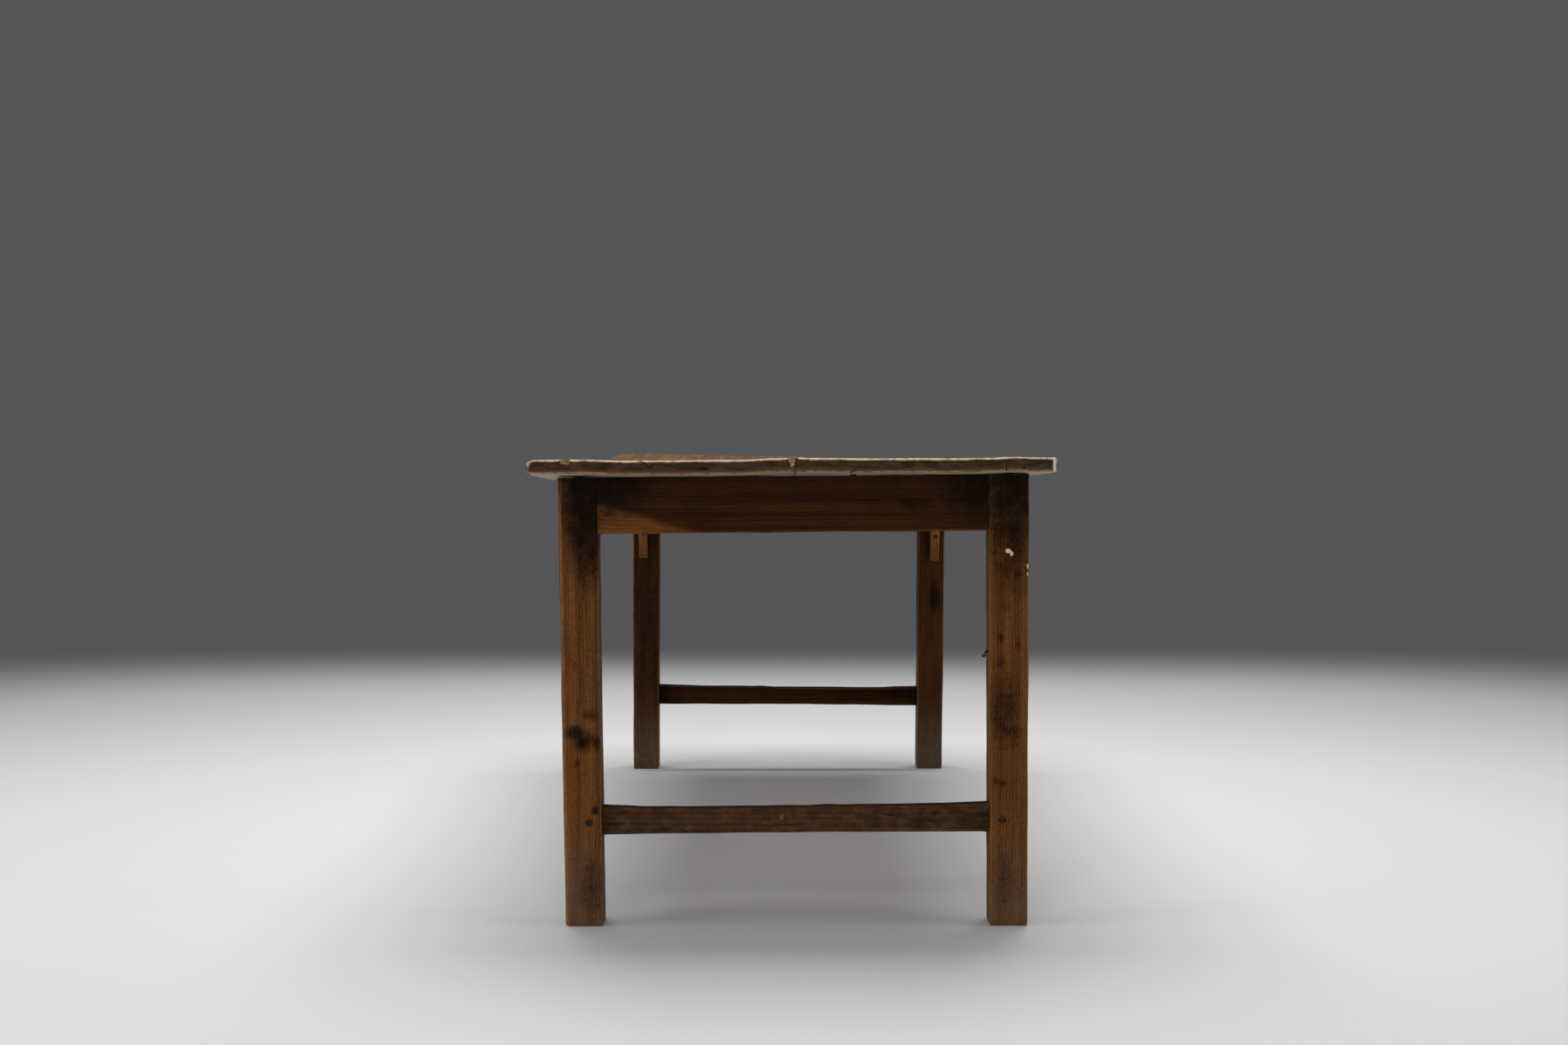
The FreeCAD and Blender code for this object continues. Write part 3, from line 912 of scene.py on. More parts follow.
# Crack in the front edge: points of (across, up, width in mm), and depth
CRACKS = {
    "left": (
        (((-0.240, 0.756, 0.8), (-0.232, 0.750, 1.6), (-0.226, 0.745, 1.6), (-0.219, 0.752, 0.8)), 14 * MM),
    ),
    "right": (
        (((0.0925, 0.731, 1.6), (0.094, 0.738, 1.5), (0.098, 0.7415, 1.3), (0.106, 0.7425, 0.7)), 16 * MM),
        (((0.341, 0.752, 0.8), (0.340, 0.746, 1.4), (0.3405, 0.739, 0.8)), 12 * MM),
    ),
}
# Knot: place on the flat board, reach and how far it lifts the rings
KNOTS = {
    "left": (
        (Vector((-0.29, -0.42, BOARD_THICKNESS)), 55 * MM, 42 * MM),
        (Vector((-0.12, 0.51, BOARD_THICKNESS)), 40 * MM, 34 * MM),
    ),
    "right": (
        (Vector((0.17, -0.08, BOARD_THICKNESS)), 48 * MM, 40 * MM),
        (Vector((0.33, 0.63, BOARD_THICKNESS)), 36 * MM, 30 * MM),
    ),
}


def along_points(points, x):
    """Smooth line through a few points."""
    for (x0, y0), (x1, y1) in zip(points, points[1:]):
        if x <= x1:
            share = min(1.0, max(0.0, (x - x0) / (x1 - x0)))
            return y0 + (y1 - y0) * share * share * (3 - 2 * share)
    return points[-1][1]


def board_lift(x, y):
    """Small cups and twists of the boards towards their ends."""
    front = math.exp(-(y - CAD_LOW.y) / LIFT_REACH) * along_points(FRONT_LIFT, x)
    rear = math.exp(-(CAD_HIGH.y - y) / LIFT_REACH) * along_points(REAR_LIFT, x)
    return (front + rear) * MM


def warp_board(board):
    """Lets a flat board follow the warped underside of the frame's boards."""
    thinning = sizes().front_thinning
    middle = BOARD_THICKNESS / 2
    for vertex in board.data.vertices:
        x, y, z = vertex.co
        inward = min(1.0, (x - CAD_LOW.x) / sizes().left_taper)
        z = middle + (z - middle) * (1.0 - LEFT_EDGE_LOSS * (1.0 - inward) ** 2)
        share = 1.0 - z / BOARD_THICKNESS
        thin = thinning * share * math.exp(-(y - CAD_LOW.y) / FRONT_THINNING_REACH)
        vertex.co.z = z + underside(x, y) + board_lift(x, y) + thin


def flat_board(place):
    """Place on a board as it was before it warped."""
    x, y, z = place
    return Vector((x, y, z - underside(x, y) - board_lift(x, y)))


def board_rub_and_highlight(place, normal):
    """The upper arrises wear most, and those of the joint not at all; the full share at the front end also
    paints a highlight, and the thin line on the lower arrises is painted light.
    """
    if abs(place.x - JOINT_X) < 6 * MM:
        return 0.0
    # Full share at the front end: wear, and a painted highlight along the lit front edge
    share = 1.0 if place.y < CAD_LOW.y + 20 * MM else 0.6
    return share if normal.z > 0.1 else 0.45 * share


def end_grain(layers):
    """Dark, flecked ends of the boards, with painted light towards the underside, where the lower arris
    catches the light.
    """
    recipe, tones = layers.recipe, colours()
    mottle = recipe.fade(recipe.noise(layers.place, (42.0, 60.0, 150.0), 4.0), 0.34, 0.74)
    ends = recipe.mix(recipe.times(mottle, 0.62), tones.end_grain, tones.end_light)
    flecks = recipe.fade(recipe.noise(layers.place, 720.0, 3.0), 0.50, 0.74)
    ends = recipe.mix(recipe.times(flecks, 0.45), ends, tones.end_light)
    _, over_pith, _ = recipe.parts(recipe.attribute("grain", "Vector"))
    over = recipe.plus(over_pith, PITH_DEPTH)
    # Painted light on the lower part of the end faces, where the lower arris catches the light
    return recipe.mix(recipe.times(recipe.fade(over, 11 * MM, 3 * MM), 0.7), ends, tones.top_light)


def top_finish(layers):
    """Dry brown top with old stains, dark ends, a pale underside of raw wood with painted bounce light from
    the floor, and bright polished edges that also carry a painted highlight.
    """
    recipe, tones = layers.recipe, colours()
    _, facing_y, facing_z = recipe.parts(recipe.node("ShaderNodeNewGeometry").outputs["Normal"])
    endways = recipe.fade(recipe.math("ABSOLUTE", facing_y), 0.30, 0.70)
    below = recipe.fade(facing_z, -0.80, -0.97)
    stain = recipe.fade(recipe.noise(layers.place, (5.0, 2.4, 5.0), 5.0), 0.50, 0.78)
    layers.lay(recipe.times(stain, 0.45), tones.top_dark)
    layers.lay(recipe.times(endways, 0.9), end_grain(layers))
    # Pale underside: raw wood, with painted bounce light from the floor
    layers.lay(recipe.times(below, 0.75), tones.raw_and_bounce_light)
    # The worn arrises of the top take the edge tone: wear and painted highlight
    layers.worn = tones.rim_wear_and_highlight
    layers.polish = RIM_POLISH


def edge_marks(side):
    """Smudges and a painted highlight on the front edge: tone, centre and reach."""
    tones = colours()
    smudge = dimmed(tones.end_grain, 0.6)
    if side == "left":
        return ((smudge, (-0.142, CAD_LOW.y, 0.744), (9 * MM, 14 * MM, 2.4 * MM)),)
    return (
        (smudge, (0.368, CAD_LOW.y, 0.745), (2 * MM, 14 * MM, 2.6 * MM)),
        # Painted highlight of the right softbox on the rounded right corner
        (tones.corner_highlight, (0.4165, CAD_LOW.y, 0.751), (2.4 * MM, 14 * MM, 15 * MM)),
    )


def top_wood(side):
    tones = colours()
    return wood(
        "top wood " + side, tones.top_light, tones.top_dark, ring=6 * MM, rough=0.5, gloss=0.1,
        contrast=0.8, rubbing=0.9, finish=top_finish, spots=edge_marks(side),
    )


def torn_wood(name, fresh):
    """Splintered wood inside a chip."""
    recipe = Recipe(name)
    splinter = recipe.noise(recipe.place(), (500.0, 90.0, 500.0), 4.0)
    tint = recipe.mix(recipe.fade(splinter, 0.38, 0.66), fresh, colours().worn)
    recipe.surface(tint, 0.8, 0.1)
    recipe.bump(splinter, 0.6 * MM)
    return recipe.material


def crack_dirt_and_shade():
    """Dirt and painted shade that fill the cracks."""
    tones = colours()
    recipe = Recipe("crack dirt")
    grit = recipe.noise(recipe.place(), 400.0, 3.0)
    tint = recipe.mix(recipe.fade(grit, 0.4, 0.7), tones.soot, tones.end_grain)
    recipe.surface(tint, 0.9, 0.05)
    recipe.bump(grit, 0.4 * MM)
    return recipe.material


def joint_face(side):
    """Where the joint edge of a board stands."""
    return JOINT_X + SIDES[side] * sizes().joint_gap / 2


def shoot_joint(board, side):
    """Planes the joint edge of a board straight, so that the boards meet along their whole length."""
    inner = joint_face(side)
    board.data.update()
    for vertex in board.data.vertices:
        back = (vertex.co.x - inner) * SIDES[side]
        if back < 0.0 or (back < JOINT_FLATTENING and abs(vertex.normal.x) > 0.75):
            vertex.co.x = inner


def plain_board(side):
    """Flat board with rounded edges and corners, on a grid."""
    low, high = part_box("top_board_" + side)
    inner = joint_face(side)
    outer = low.x if side == "left" else high.x
    first, last = sorted((inner, outer))
    board = block("plank_" + side, (first, low.y, 0.0), (last, high.y, BOARD_THICKNESS))
    divide(board, (X, 29), (Y, 69), (Y, 1))
    near = 2 * MM

    def upright_corner(place):
        at_corner = abs(place.x - outer) < near and abs(abs(place.y) - high.y) < near
        return at_corner and near < place.z < BOARD_THICKNESS - near

    round_edges(board, sizes().board_corner, 4, upright_corner)
    round_edges(board, sizes().nosing, 4, lambda place: abs(place.x - inner) > near)
    round_edges(board, JOINT_ARRIS, 2, lambda place: abs(place.x - inner) < near)
    return board


class TABLE_OT_boards(bpy.types.Operator):
    """Model the two warped boards of the top"""

    bl_idname = "farmhouse.boards"
    bl_label = "Top boards"

    def execute(self, context):
        fresh = colours().torn
        torn = {
            "torn": torn_wood("torn wood", fresh),
            "browned": torn_wood("browned torn wood", dimmed(fresh, 0.55)),
        }
        dark = crack_dirt_and_shade()
        for side in SIDES:
            node = "top_board_" + side
            board = plain_board(side)
            warp_board(board)
            refine(board)
            weather(board, sizes().board_wave, sizes().fine_nick)
            shoot_joint(board, side)
            paint(board, top_wood(side))
            lay_wear(board, JOINT_DIRT_AND_SHADE, board_rub_and_highlight)
            cutters = [torn_cutter(place, size, torn[look], seed) for place, size, look, seed in CHIPS[side]]
            cutters += [crack_cutter(points, depth, dark) for points, depth in CRACKS[side]]
            carve(board, cutters)
            pith = Vector((node_middle(node).x, 0.0, PITH_DEPTH))
            lay_grain(board, Y, pith, flat_board, KNOTS[side])
            hand_over(board, node)
        return {"FINISHED"}


# Legs

# Share of the leg tones at each end: the rear legs are darkened to paint the shade under the table
LEG_SHADE_SHARE = {"front": 1.0, "rear": 0.43}
WORN_LEG = ("front", "left")
FOOT_CLEAR = 3 * MM
HEAD_CLEAR = 8 * MM

# Dirt mark: centre, reach and strength. The marks at a height of 0.76 darken the leg heads: patina, and
# painted shade under the top.
LEG_MARKS = {
    ("front", "left"): (
        # Head: patina and painted shade under the top
        ((-0.329, -0.92, 0.760), (0.062, 0.06, 0.260), 1.06),
        ((-0.337, -0.89, 0.760), (0.075, 0.08, 0.190), 0.82),
        ((-0.322, -0.92, 0.605), (0.020, 0.03, 0.020), 0.80),
        ((-0.323, -0.92, 0.575), (0.012, 0.03, 0.012), 0.75),
        ((-0.350, -0.92, 0.316), (0.028, 0.03, 0.018), 0.80),
        ((-0.337, -0.92, 0.303), (0.028, 0.03, 0.024), 0.74),
        ((-0.316, -0.92, 0.298), (0.009, 0.02, 0.018), 0.75),
        ((-0.326, -0.92, 0.345), (0.022, 0.03, 0.016), 0.50),
        ((-0.348, -0.92, 0.265), (0.010, 0.02, 0.012), 0.55),
        ((-0.352, -0.92, 0.430), (0.014, 0.02, 0.030), 0.35),
        ((-0.318, -0.92, 0.190), (0.010, 0.02, 0.012), 0.80),
        ((-0.325, -0.92, 0.065), (0.034, 0.03, 0.085), 0.50),
    ),
    ("front", "right"): (
        # Head: patina and painted shade under the top
        ((0.355, -0.92, 0.760), (0.080, 0.06, 0.270), 0.84),
        ((0.353, -0.89, 0.760), (0.075, 0.08, 0.190), 0.74),
        ((0.350, -0.92, 0.588), (0.014, 0.03, 0.040), 0.62),
        ((0.366, -0.92, 0.572), (0.008, 0.02, 0.012), 0.75),
        ((0.338, -0.92, 0.470), (0.008, 0.02, 0.012), 0.70),
        ((0.346, -0.92, 0.350), (0.036, 0.04, 0.090), 0.62),
        ((0.367, -0.92, 0.458), (0.009, 0.02, 0.016), 0.60),
        ((0.345, -0.92, 0.520), (0.012, 0.02, 0.018), 0.45),
        ((0.340, -0.92, 0.428), (0.012, 0.02, 0.016), 0.50),
        ((0.330, -0.92, 0.237), (0.008, 0.02, 0.010), 0.65),
        ((0.344, -0.92, 0.233), (0.009, 0.02, 0.010), 0.60),
        ((0.362, -0.92, 0.236), (0.007, 0.02, 0.009), 0.50),
        ((0.354, -0.92, 0.318), (0.030, 0.03, 0.035), 0.60),
        ((0.346, -0.92, 0.075), (0.036, 0.03, 0.085), 0.42),
    ),
    ("rear", "left"): (
        # Head: patina and painted shade under the top; the mark below darkens most of the leg
        ((-0.337, 0.87, 0.760), (0.070, 0.08, 0.240), 1.00),
        ((-0.330, 0.86, 0.380), (0.060, 0.06, 0.340), 0.52),
    ),
    ("rear", "right"): (
        # Head: patina and painted shade under the top
        ((0.357, 0.87, 0.760), (0.070, 0.08, 0.220), 0.95),
        ((0.365, 0.86, 0.420), (0.020, 0.05, 0.060), 0.70),
    ),
}
# Scratch: start, end and width
SCRATCHES = {
    ("front", "left"): (
        ((-0.334, 0, 0.670), (-0.314, 0, 0.669), 0.5 * MM),
        ((-0.362, 0, 0.112), (-0.338, 0, 0.109), 0.5 * MM),
        ((-0.352, 0, 0.130), (-0.330, 0, 0.127), 0.45 * MM),
        ((-0.355, 0, 0.122), (-0.342, 0, 0.137), 0.4 * MM),
    ),
    ("front", "right"): (
        ((0.326, 0, 0.424), (0.352, 0, 0.420), 0.5 * MM),
        ((0.332, 0, 0.412), (0.345, 0, 0.415), 0.4 * MM),
    ),
}
# Speck of old filler: centre and reach
SPECKS = {
    ("front", "right"): (
        ((0.3500, -0.918, 0.6105), (5.0 * MM, 8 * MM, 3.6 * MM)),
        ((0.3555, -0.918, 0.6060), (2.6 * MM, 8 * MM, 3.2 * MM)),
        ((0.3815, -0.917, 0.5860), (1.3 * MM, 6 * MM, 3.6 * MM)),
        ((0.3815, -0.917, 0.5730), (1.2 * MM, 6 * MM, 2.6 * MM)),
    ),
}


def leg_finish(layers):
    """Scuffed, dusty feet with pale grit."""
    recipe, tones = layers.recipe, colours()
    _, _, height = recipe.parts(layers.place)
    foot = recipe.fade(height, 0.19, 0.02)
    scuffs = recipe.scale(recipe.noise(layers.place, (90.0, 90.0, 50.0), 5.0), 0.0, 0.78)
    grit = recipe.times(recipe.fade(recipe.cells(layers.place, 210.0), 0.16, 0.07), 0.7)
    for dusting in (scuffs, grit):
        layers.lay(recipe.times(foot, dusting), tones.dust)


def leg_wood(end, side):
    tones = colours()
    light, dark = dimmed(tones.leg_light, LEG_SHADE_SHARE[end]), dimmed(tones.leg_dark, LEG_SHADE_SHARE[end])
    specks = [(tones.putty, centre, reach) for centre, reach in SPECKS.get((end, side), ())]
    return wood(
        "leg %s %s wood" % (end, side), light, dark, finish=leg_finish, spots=specks,
        scratches=SCRATCHES.get((end, side), ()),
    )


def hewn_leg(end, side):
    """Square leg with rounded arrises. One of the four has a wide worn outer corner."""
    node = "leg_%s_%s" % (end, side)
    leg = frame_block(node + "_worn", node, (1.0, 1.0, 1.0))
    middle = node_middle(node)
    divide(leg, (Z, 71), (X, 4), (Y, 4))

    def clear_of_ends(place):
        return FOOT_CLEAR < place.z < middle.z * 2 - HEAD_CLEAR

    def outer_corner(place):
        outward = (place.x - middle.x) * SIDES[side] > 0 and (place.y - middle.y) * ENDS[end] > 0
        return outward and clear_of_ends(place)

    if (end, side) == WORN_LEG:
        round_edges(leg, sizes().worn_corner, 2, outer_corner)
    round_edges(leg, sizes().arris, ARRIS_STEPS, clear_of_ends)
    round_edges(leg, sizes().foot_arris, 2, lambda place: place.z < 2 * MM)
    plane_by_hand(leg, share=0.7)
    for vertex in leg.data.vertices:
        vertex.co.z = max(vertex.co.z, 0.0)
    return leg


class TABLE_OT_legs(bpy.types.Operator):
    """Model the four leaning square legs"""

    bl_idname = "farmhouse.legs"
    bl_label = "Legs"

    def execute(self, context):
        for end, side in CORNERS:
            node = "leg_%s_%s" % (end, side)
            leg = hewn_leg(end, side)
            pith = (0.09 * SIDES[side], 0.03 * ENDS[end], 0.0)
            finish_wood(leg, node, leg_wood(end, side), Z, pith, LEG_MARKS[end, side])
        return {"FINISHED"}


# Aprons and bearers

SEAT_GAP = 0.3 * MM
# A low weight along a rail makes its corners those of its shoulders, and not of its tenons
SHOULDER_WEIGHT = 0.05
BOTH_SHOULDERS = (-SHOULDER_WEIGHT, SHOULDER_WEIGHT)
BEARER_WEIGHT = 0.02
# Edges this near the upper face, or this near the ends of a bearer, stay sharp
APRON_UPPER = 50 * MM
BEARER_UPPER = 30 * MM
BEARER_END = 20 * MM

# Painted light on the lower left of the front apron, below the shadow of the top: start of its upper line,
# the slope of that line, and how it fades to the right
LIT_LINE = (-0.315, 0.688)
LIT_SLOPE = -0.27
LIT_FADE = (-0.27, -0.06)


def lower_arris(place, normal):
    """Only the arrises on the lower side are rubbed."""
    return 1.0 if normal.z < 0.0 else 0.0


def apron_painted_light(layers):
    """Painted light: a lighter wedge along the lower left of the front apron, below the shadow of the top.
    """
    recipe, tones = layers.recipe, colours()
    across, _, up = recipe.parts(layers.place)
    slope = recipe.times(recipe.plus(across, -LIT_LINE[0]), LIT_SLOPE)
    below = recipe.math("SUBTRACT", recipe.plus(slope, LIT_LINE[1]), up)
    ripple = recipe.swing(layers.place, (16.0, 4.0, 30.0), 3.0)
    below = recipe.plus(below, recipe.times(ripple, 0.016))
    fading = recipe.scale(recipe.fade(across, *LIT_FADE), 0.9, 0.2)
    lit_wood = recipe.mix(recipe.fade(layers.figure.fibre, 0.3, 0.8), tones.apron_light, tones.leg_dark)
    # Lays the painted light below the line, fading to the right
    layers.lay(recipe.times(recipe.fade(below, -0.004, 0.010), fading), lit_wood)


def apron_wood(name, finish=None):
    tones = colours()
    return wood(
        name, tones.apron_mid, tones.apron_dark, rough=0.5, contrast=0.6, rubbing=0.4, finish=finish
    )


class TABLE_OT_end_aprons(bpy.types.Operator):
    """Model the aprons under the two ends of the top"""

    bl_idname = "farmhouse.end_aprons"
    bl_label = "End aprons"

    def execute(self, context):
        finishes = {"front": apron_painted_light, "rear": None}
        for end in ENDS:
            node = "end_apron_" + end
            apron = frame_block(node + "_worn", node, (SHOULDER_WEIGHT, 1.0, 1.0))
            divide(apron, (X, 62), (Z, 7), (Y, 1))
            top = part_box(node)[1].z
            middle = node_middle(node)
            left, right = sorted(cad_corner(node, (weight, 1, 1)).x for weight in BOTH_SHOULDERS)

            def clear_of_legs(place):
                lower = place.z < top - APRON_UPPER
                return lower and left + SHOULDER_CLEAR < place.x < right - SHOULDER_CLEAR

            round_edges(apron, sizes().arris, ARRIS_STEPS, clear_of_legs)
            plane_by_hand(apron, share=0.8)
            # Darker towards the legs: dirt, and painted shade in the corners under the top
            marks = [((x, middle.y, middle.z + 0.03), (0.13, 0.05, 0.09), 0.75) for x in (left, right)]
            marks.append(((middle.x + 0.2, middle.y, middle.z), (0.05, 0.05, 0.02), 0.6))
            material = apron_wood("end apron wood " + end, finishes[end])
            pith = (0.0, -0.05 * ENDS[end], -0.11)
            finish_wood(apron, node, material, X, pith, marks, lower_arris)
        return {"FINISHED"}


def sag_with_top(apron, front, rear):
    """Lets a side apron, straight between two corners, follow the sag of the top."""
    for vertex in apron.data.vertices:
        x, y, _ = vertex.co
        share = (y - front.y) / (rear.y - front.y)
        straight = front.z + (rear.z - front.z) * share
        vertex.co.z += underside(x, y) - SEAT_GAP - straight


class TABLE_OT_side_aprons(bpy.types.Operator):
    """Model the long aprons, which sag with the top"""

    bl_idname = "farmhouse.side_aprons"
    bl_label = "Side aprons"

    def execute(self, context):
        for side in SIDES:
            node = "side_apron_" + side
            apron = frame_block(node + "_worn", node, (1.0, SHOULDER_WEIGHT, 1.0))
            front, rear = (cad_corner(node, (SIDES[side], weight, 1)) for weight in BOTH_SHOULDERS)
            middle = node_middle(node)
            divide(apron, (Y, 99), (Z, 6), (X, 1))
            top = max(front.z, rear.z)

            def clear_of_legs(place):
                return place.z < top - APRON_UPPER and abs(place.y) < rear.y - SHOULDER_CLEAR

            round_edges(apron, sizes().arris, ARRIS_STEPS, clear_of_legs)
            sag_with_top(apron, front, rear)
            plane_by_hand(apron, share=0.8)
            ends = (front.y, rear.y)
            # Darker towards the legs: dirt, and painted shade in the corners under the top
            marks = [((middle.x, y, middle.z + 0.03), (0.05, 0.12, 0.07), 0.7) for y in ends]
            material = apron_wood("side apron wood " + side)
            pith = (-0.04 * SIDES[side], 0.0, -0.10)
            finish_wood(apron, node, material, Y, pith, marks, lower_arris)
        return {"FINISHED"}


class TABLE_OT_bearers(bpy.types.Operator):
    """Model the cross bearers under the boards"""

    bl_idname = "farmhouse.bearers"
    bl_label = "Bearers"

    def execute(self, context):
        material = apron_wood("bearer wood")
        for end in ENDS:
            node = "bearer_" + end
            bearer = frame_block(node + "_worn", node, (BEARER_WEIGHT, 1.0, 1.0))
            divide(bearer, (X, 50), (Y, 5), (Z, 3))
            low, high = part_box(node)

            def clear_of_tenons(place):
                lower = place.z < high.z - BEARER_UPPER
                return lower and low.x + BEARER_END < place.x < high.x - BEARER_END

            round_edges(bearer, sizes().arris, ARRIS_STEPS, clear_of_tenons)
            plane_by_hand(bearer, share=1.0)
            finish_wood(bearer, node, material, X, (0.0, 0.05, 0.08), keep=lower_arris)
        return {"FINISHED"}


# Stretchers

# Line of the upper edge: places across, and the lift there in millimetres
STRETCHER_TOP = (
    (-0.31, 0.6), (-0.27, 0.0), (-0.24, -1.6), (0.02, -1.2), (0.06, 0.9), (0.08, 0.0), (0.16, -0.4),
    (0.24, 0.4), (0.33, 2.0),
)
HALF_HEIGHT = 22 * MM


def stretcher_finish(layers):
    """Dull, dusty wood with scuffed patches and pale specks."""
    recipe, tones = layers.recipe, colours()
    dusty = recipe.noise(layers.place, (55.0, 55.0, 110.0), 6.0)
    scuffed = recipe.mix(recipe.fade(dusty, 0.55, 0.75), tones.worn, tones.dust)
    layers.lay(recipe.times(recipe.fade(dusty, 0.42, 0.72), 0.26), scuffed)
    grit = recipe.fade(recipe.cells(layers.place, 170.0), 0.20, 0.07)
    specks = recipe.times(grit, recipe.fade(dusty, 0.50, 0.62))
    layers.lay(recipe.times(specks, 0.8), tones.dust)


def stretcher_wood(end):
    tones = colours()
    looks = {
        "front": (tones.stretcher_light, tones.stretcher_dark, stretcher_finish),
        # The rear stretcher, in darkened apron tones: painted shade under the table
        "rear": (dimmed(tones.apron_light, 0.28), dimmed(tones.apron_dark, 0.4), None),
    }
    light, dark, dusting = looks[end]
    return wood(
        "stretcher wood " + end, light, dark, rough=0.68, contrast=0.8, rubbing=0.15, finish=dusting
    )


def shape_stretcher(rail, end, middle, reach):
    """Thickens a stretcher towards its ends, and gives its upper edge a worn line."""
    for vertex in rail.data.vertices:
        across = abs(vertex.co.x - middle.x) / reach
        over = (vertex.co.z - middle.z) / HALF_HEIGHT
        vertex.co.z += over * sizes().stretcher_swell * (across ** 2 - 0.3)
        if over > 0.3:
            vertex.co.z += along_points(STRETCHER_TOP, vertex.co.x * -ENDS[end]) * MM


class TABLE_OT_stretchers(bpy.types.Operator):
    """Model the two low cross stretchers"""

    bl_idname = "farmhouse.stretchers"
    bl_label = "Stretchers"

    def execute(self, context):
        for end in ENDS:
            node = "stretcher_" + end
            rail = frame_block(node + "_worn", node, (SHOULDER_WEIGHT, 1.0, 1.0))
            middle = node_middle(node)
            reach = cad_corner(node, (SHOULDER_WEIGHT, 1, 1)).x - middle.x
            divide(rail, (X, 62), (Z, 3), (Y, 2))

            def clear_of_legs(place):
                return abs(place.x - middle.x) < reach - SHOULDER_CLEAR

            round_edges(rail, sizes().arris * 1.3, ARRIS_STEPS, clear_of_legs)
            shape_stretcher(rail, end, middle, reach)
            plane_by_hand(rail, share=0.7)
            ends = (middle.x - reach, middle.x + reach)
            marks = [((x, middle.y, middle.z), (0.045, 0.05, 0.05), 0.36) for x in ends]
            finish_wood(rail, node, stretcher_wood(end), X, (0.0, 0.06, -0.05), marks)
        return {"FINISHED"}


# Brackets

BRACKET_GRID = 1.8 * MM
BRACKET_WAVE = 0.5 * MM


def free_copy(node, name):
    """Copy of a frame node that belongs to nothing, with its loose triangles merged."""
    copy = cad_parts[node].copy()
    copy.data = copy.data.copy()
    for key in list(copy.keys()):
        del copy[key]
    copy.parent = None
    bpy.context.scene.collection.objects.link(copy)
    with editing(copy, "VERT"):
        bpy.ops.mesh.select_all(action="SELECT")
        bpy.ops.mesh.remove_doubles(threshold=MERGE_DISTANCE)
    return named(copy, name)


class TABLE_OT_brackets(bpy.types.Operator):
    """Model the hollow-edged corner brackets"""

    bl_idname = "farmhouse.brackets"
    bl_label = "Brackets"

    def execute(self, context):
        light, dark = colours().bracket_light, colours().bracket_dark
        material = wood("bracket wood", light, dark, ring=3.4 * MM, contrast=0.8)
        for end, side in CORNERS:
            node = "bracket_%s_%s" % (end, side)
            bracket = free_copy(node, node + "_piece")
            apply_modifier(bracket, "REMESH", mode="VOXEL", voxel_size=BRACKET_GRID)
            apply_modifier(bracket, "SMOOTH", factor=0.5, iterations=4)
            weather(bracket, BRACKET_WAVE, sizes().fine_nick)
            finish_wood(bracket, node, material, Z, (0.05, 0.04, 0.0))
        return {"FINISHED"}


# Pegs

# The axis along which each group of pegs runs
PEG_NODES = {
    "end_apron_pegs": Y,
    "stretcher_pegs": Y,
    "side_apron_pegs": X,
    "top_pegs": Z,
    "stretcher_plug": Y,
}
PEG_TURN = {X: (0.0, math.pi / 2, 0.0), Y: (math.pi / 2, 0.0, 0.0), Z: (0.0, 0.0, 0.0)}
PEG_ARRIS = 0.9 * MM
PEG_SIDES = 14
PEG_WHITTLING = 0.05
# The plug against its node: how much wider it is, and how much taller upwards and downwards
PLUG_WIDER = 1.25
PLUG_UPWARDS = 1.45
PLUG_DOWNWARDS = 1.75


def peg_wood(name, base, fleck):
    """End grain of split pegs: rings of pores, darkened by handling."""
    recipe = Recipe(name)
    place = recipe.place()
    pores = recipe.fade(recipe.cells(place, 900.0), 0.40, 0.15)
    mottle = recipe.noise(place, 210.0, 4.0)
    tint = recipe.mix(recipe.fade(mottle, 0.35, 0.70), base, fleck)
    tint = recipe.mix(recipe.times(pores, 0.7), tint, colours().pore)
    recipe.surface(tint, recipe.scale(mottle, 0.45, 0.75), 0.08)
    recipe.bump(recipe.math("SUBTRACT", mottle, pores), 0.3 * MM)
    return recipe.material


def whittled_peg(low, high, axis):
    """Slightly faceted round peg between two corners, with a rubbed end."""
    size = high - low
    centre = (low + high) / 2
    radius = min(size[other] for other in range(3) if other != axis) / 2
    bpy.ops.object.select_all(action="DESELECT")
    bpy.ops.mesh.primitive_cylinder_add(
        vertices=PEG_SIDES, radius=radius, depth=size[axis], location=centre, rotation=PEG_TURN[axis]
    )
    bpy.ops.object.transform_apply(location=True, rotation=True, scale=True)
    peg = bpy.context.object
    round_edges(peg, PEG_ARRIS, 2, lambda place: True)
    for vertex in peg.data.vertices:
        out = vertex.co - centre
        out[axis] = 0.0
        vertex.co += out * PEG_WHITTLING * noise.noise(vertex.co.normalized() * 9.0)
    return peg


def copied(piece, shift):
    """Copy with a mesh of its own, moved by a shift that goes into the mesh."""
    focus(piece)
    bpy.ops.object.duplicate(linked=False)
    bpy.ops.transform.translate(value=shift)
    bpy.ops.object.transform_apply(location=True, rotation=True, scale=True)
    return bpy.context.object


def peg_group(node, axis):
    """All pegs of one frame node as one piece, whittled once and copied."""
    boxes = loose_boxes(node)
    centres = [(low + high) / 2 for low, high in boxes]
    first = whittled_peg(*boxes[0], axis)
    copies = [copied(first, centre - centres[0]) for centre in centres[1:]]
    focus(first)
    for peg in copies:
        peg.select_set(True)
    if copies:
        bpy.ops.object.join()
    return named(bpy.context.object, node + "_whittled")


def swell_plug(plug, centre):
    """Makes the plug taller and rounder than the hole it was cut for."""
    for vertex in plug.data.vertices:
        out = vertex.co - centre
        taller = PLUG_DOWNWARDS if out.z < 0 else PLUG_UPWARDS
        vertex.co = centre + Vector((out.x * PLUG_WIDER, out.y, out.z * taller))


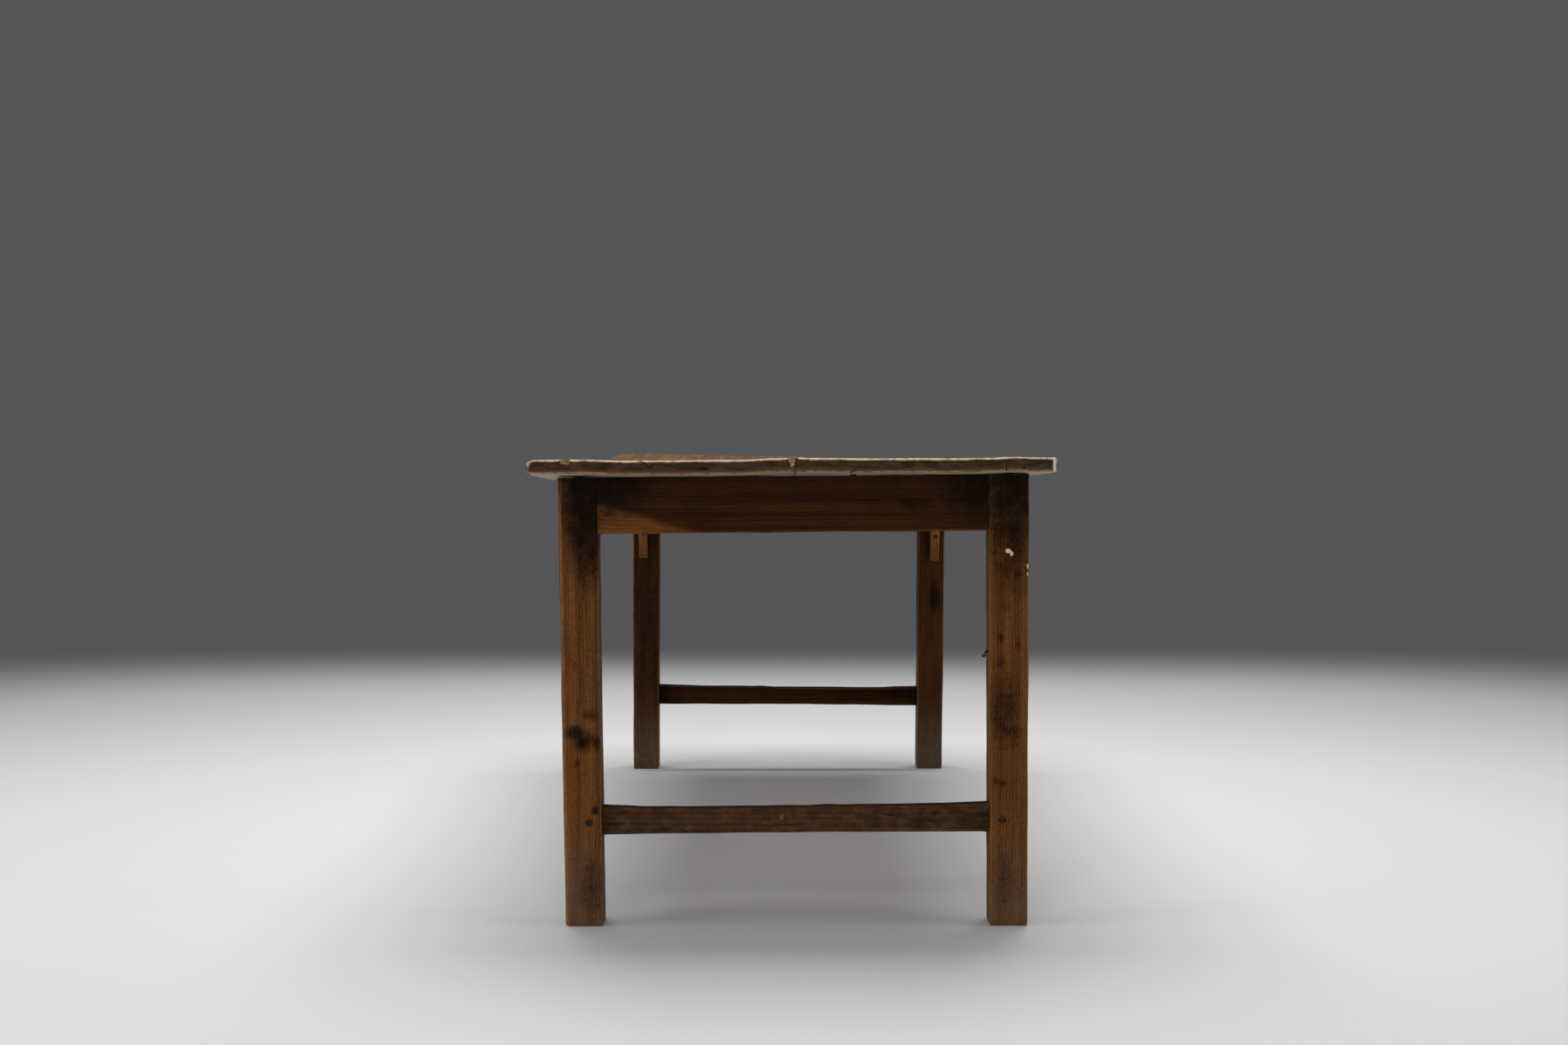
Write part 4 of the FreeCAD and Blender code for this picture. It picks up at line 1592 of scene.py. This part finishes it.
class TABLE_OT_pegs(bpy.types.Operator):
    """Model the pegs that lock the joints and hold the boards down"""

    bl_idname = "farmhouse.pegs"
    bl_label = "Pegs"

    def execute(self, context):
        tones = colours()
        plain = peg_wood("peg wood", tones.peg, tones.pore)
        finishes = {
            # Pegs in the leg heads, darkened like the heads: dirt and painted shade under the top
            "end_apron_pegs": peg_wood("smoked peg wood", dimmed(tones.peg, 0.28), tones.soot),
            "stretcher_plug": peg_wood("plug wood", tones.dust, tones.stretcher_light),
        }
        for node, axis in PEG_NODES.items():
            pegs = peg_group(node, axis)
            if node == "stretcher_plug":
                swell_plug(pegs, node_middle(node))
            paint(pegs, finishes.get(node, plain))
            hand_over(pegs, node)
        paint(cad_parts["edge_dowels"], plain)
        return {"FINISHED"}


# Iron

def iron_finish():
    """Dark iron with a bloom of rust."""
    tones = colours()
    recipe = Recipe("old iron")
    bloom = recipe.noise(recipe.place(), 320.0, 5.0)
    tint = recipe.mix(recipe.fade(bloom, 0.46, 0.66), tones.iron, tones.rust)
    recipe.surface(tint, recipe.scale(bloom, 0.42, 0.80), 0.5)
    recipe.feed(recipe.shader.inputs["Metallic"], recipe.fade(bloom, 0.62, 0.40))
    recipe.bump(bloom, 0.3 * MM)
    return recipe.material


class TABLE_OT_iron(bpy.types.Operator):
    """Finish the hook and the bracket nails"""

    bl_idname = "farmhouse.iron"
    bl_label = "Iron"

    def execute(self, context):
        finish = iron_finish()
        for node in ("bracket_nails", "leg_hook"):
            paint(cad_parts[node], finish)
        return {"FINISHED"}


class TABLE_PT_panel(bpy.types.Panel):
    """Lists the steps that make the table"""

    bl_idname = "TABLE_PT_panel"
    bl_label = "Farmhouse table"
    bl_space_type = "VIEW_3D"
    bl_region_type = "UI"
    bl_category = "Table"

    def draw(self, context):
        for operator in OPERATORS:
            self.layout.operator(operator.bl_idname)
        for group in GROUPS:
            settings = getattr(context.scene, group)
            box = self.layout.box()
            for name in settings.bl_rna.properties.keys():
                if name not in ("rna_type", "name"):
                    box.prop(settings, name)


OPERATORS = (
    TABLE_OT_stage, TABLE_OT_boards, TABLE_OT_legs, TABLE_OT_end_aprons, TABLE_OT_side_aprons,
    TABLE_OT_bearers, TABLE_OT_stretchers, TABLE_OT_brackets, TABLE_OT_pegs, TABLE_OT_iron,
)
GROUPS = {"table_sizes": TableSizes, "table_colours": TableColours, "table_stage": StageSettings}


def register():
    for group in GROUPS.values():
        bpy.utils.register_class(group)
    for name, group in GROUPS.items():
        setattr(bpy.types.Scene, name, bpy.props.PointerProperty(type=group))
    for cls in (*OPERATORS, TABLE_PT_panel):
        bpy.utils.register_class(cls)


def unregister():
    for cls in (TABLE_PT_panel, *reversed(OPERATORS)):
        bpy.utils.unregister_class(cls)
    for name, group in GROUPS.items():
        delattr(bpy.types.Scene, name)
        bpy.utils.unregister_class(group)


def main():
    register()
    for operator in OPERATORS:
        step = operator.bl_idname.split(".")[1]
        getattr(bpy.ops.farmhouse, step)()


if __name__ == "__main__":
    main()
